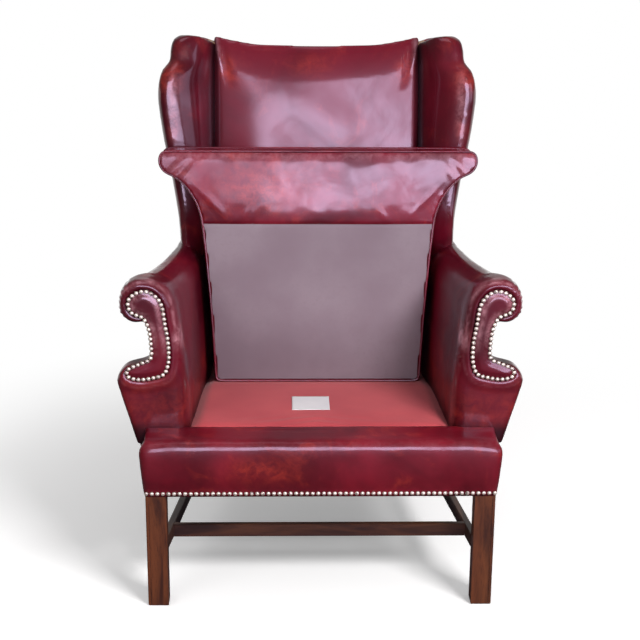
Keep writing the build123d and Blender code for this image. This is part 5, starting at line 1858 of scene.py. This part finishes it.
LAVENDER = (0.87, 0.70, 1.0)
ROSE = (1.0, 0.74, 0.92)
PLAIN = (1.0, 0.98, 0.98)
LAMPS = (
    Lamp("window", (1.6, -7.0, 2.0), (1.6, 0, 2.0), (6.0, 2.9), 560, LAVENDER, True),
    Lamp("side window", (5.0, -2.8, 1.7), (0, 0, 1.0), (4.2, 2.4), 70, LAVENDER, True),
    Lamp("skylight", (-0.6, 0.1, 4.2), (0, 0, 0.5), (2.0, 1.6), 14, ROSE, True),
    Lamp("front light", (2.3, -3.4, 3.5), (0, 0.2, 0.4), (1.6, 1.3), 205, PLAIN, False),
    Lamp("fill light", (-2.6, -3.6, 2.4), (0, 0.2, 0.7), (3.0, 2.4), 45, PLAIN, False),
)


@dataclass(frozen=True)
class Studio:
    """Camera, floor, lamps and background."""

    place: Point = (-0.08057, -2.96773, 1.63690)
    pitch: float = 18.256
    yaw: float = 1.459
    roll: float = 0.441
    focal_pixels: float = 1520.75
    frame_pixels: float = 640.0
    sensor: float = 36.0
    ambient: float = 0.42
    mirrored: float = 0.07
    backdrop: Point = (0.5, 1.0)
    backdrop_glow: float = 0.5
    floor_shade: Point = (1.0, 1.0, 1.0)
    floor_glow: float = 0.22
    floor_fade: Point = (0.6, 1.5)
    floor_mirror: Point = (0.5, 1.2)

    def camera(self, front: float) -> None:
        """Sets the camera where the photograph was taken from."""
        pitch, yaw, roll = (math.radians(value) for value in (self.pitch, self.yaw, self.roll))
        ahead = Vector((math.sin(yaw) * math.cos(pitch), math.cos(yaw) * math.cos(pitch), -math.sin(pitch)))
        right = Vector((math.cos(yaw), -math.sin(yaw), 0))
        up = right.cross(ahead)
        across = math.cos(roll) * right + math.sin(roll) * up
        upward = -math.sin(roll) * right + math.cos(roll) * up
        data = bpy.data.cameras.new("photograph")
        data.sensor_width = self.sensor
        data.lens = self.focal_pixels / self.frame_pixels * self.sensor
        camera = bpy.data.objects.new("photograph", data)
        matrix = Matrix((across, upward, -ahead)).transposed().to_4x4()
        matrix.translation = Vector(self.place) + Vector((0, front, 0))
        camera.matrix_world = matrix
        bpy.context.scene.collection.objects.link(camera)
        bpy.context.scene.camera = camera

    def world(self) -> None:
        """White background that lights the chair softly, dimmer at the sides where the room is dark."""
        world = bpy.data.worlds.new("studio")
        world.use_nodes = True
        tree = world.node_tree
        background = tree.nodes["Background"]
        path = tree.nodes.new("ShaderNodeLightPath")
        seen = sums(tree, "MAXIMUM", path.outputs["Is Camera Ray"], path.outputs["Is Transmission Ray"])
        strength = sums(tree, "ADD", sums(tree, "MULTIPLY", seen, 1 - self.ambient), self.ambient)
        direction = add_node(tree, "ShaderNodeTexCoord").outputs["Generated"]
        axes = add_node(tree, "ShaderNodeSeparateXYZ", Vector=direction)
        behind = ranged(tree, axes.outputs["Y"], *self.backdrop)
        room = sums(tree, "MULTIPLY_ADD", behind, self.backdrop_glow - self.mirrored,
                    self.mirrored - self.ambient)
        glossy = sums(tree, "MULTIPLY", path.outputs["Is Glossy Ray"], room)
        tree.links.new(sums(tree, "ADD", strength, glossy), background.inputs["Strength"])
        background.inputs["Color"].default_value = (1, 1, 1, 1)
        bpy.context.scene.world = world

    def floor(self) -> None:
        """Pale floor that fades into the background and keeps the chair's shadow."""
        mesh = bmesh.new()
        bmesh.ops.create_circle(mesh, cap_ends=True, segments=64, radius=30)
        piece = new_object("floor", mesh)
        material = bpy.data.materials.new("floor")
        material.use_nodes = True
        tree = material.node_tree
        tree.nodes.remove(tree.nodes["Principled BSDF"])
        pale = add_node(tree, "ShaderNodeBsdfDiffuse", Color=(0.10, 0.08, 0.09, 1))
        shaded = add_node(tree, "ShaderNodeBsdfDiffuse", Color=(*self.floor_shade, 1))
        glow = add_node(tree, "ShaderNodeEmission", Color=(1, 1, 1, 1), Strength=self.floor_glow)
        white = add_node(tree, "ShaderNodeEmission", Color=(1, 1, 1, 1), Strength=1.0)
        both = tree.nodes.new("ShaderNodeAddShader")
        tree.links.new(shaded.outputs[0], both.inputs[0])
        tree.links.new(glow.outputs[0], both.inputs[1])
        place = add_node(tree, "ShaderNodeTexCoord").outputs["Object"]
        reach = add_node(tree, "ShaderNodeVectorMath", Vector=place)
        reach.operation = "LENGTH"
        far = tree.nodes.new("ShaderNodeMixShader")
        tree.links.new(ranged(tree, reach.outputs["Value"], *self.floor_fade), far.inputs[0])
        tree.links.new(both.outputs[0], far.inputs[1])
        tree.links.new(white.outputs[0], far.inputs[2])
        path = tree.nodes.new("ShaderNodeLightPath")
        seen = sums(tree, "MAXIMUM", path.outputs["Is Camera Ray"], path.outputs["Is Transmission Ray"])
        choice = tree.nodes.new("ShaderNodeMixShader")
        axes = add_node(tree, "ShaderNodeSeparateXYZ", Vector=place)
        rear = ranged(tree, axes.outputs["Y"], *self.floor_mirror)
        behind = sums(tree, "MULTIPLY", path.outputs["Is Glossy Ray"], rear)
        tree.links.new(sums(tree, "MAXIMUM", seen, behind), choice.inputs[0])
        tree.links.new(pale.outputs[0], choice.inputs[1])
        tree.links.new(far.outputs[0], choice.inputs[2])
        tree.links.new(choice.outputs[0], tree.nodes["Material Output"].inputs["Surface"])
        piece.data.materials.append(material)

    def build(self, front: float) -> None:
        """Sets the camera, the floor and the light."""
        self.camera(front)
        self.world()
        self.floor()
        for lamp in LAMPS:
            lamp.hang()
        bpy.context.scene.view_settings.view_transform = "Standard"


def main() -> None:
    """Builds the chair in order."""
    logging.basicConfig(level=logging.INFO, format="%(message)s")
    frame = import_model()
    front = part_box("front_leg_left")[0][1]
    palette = Palette()
    shop = Shop(front, palette)
    rake = Rake()
    dress_frame(frame["nodes"], palette)
    Arm().make(shop, rake)
    Wings().make(shop, rake)
    Back().make(shop, rake)
    SeatFront().make(shop)
    Deck().make(shop)
    Cushion().make(shop)
    Underside().make(shop)
    Studio().build(front)


if __name__ == "__main__":
    main()
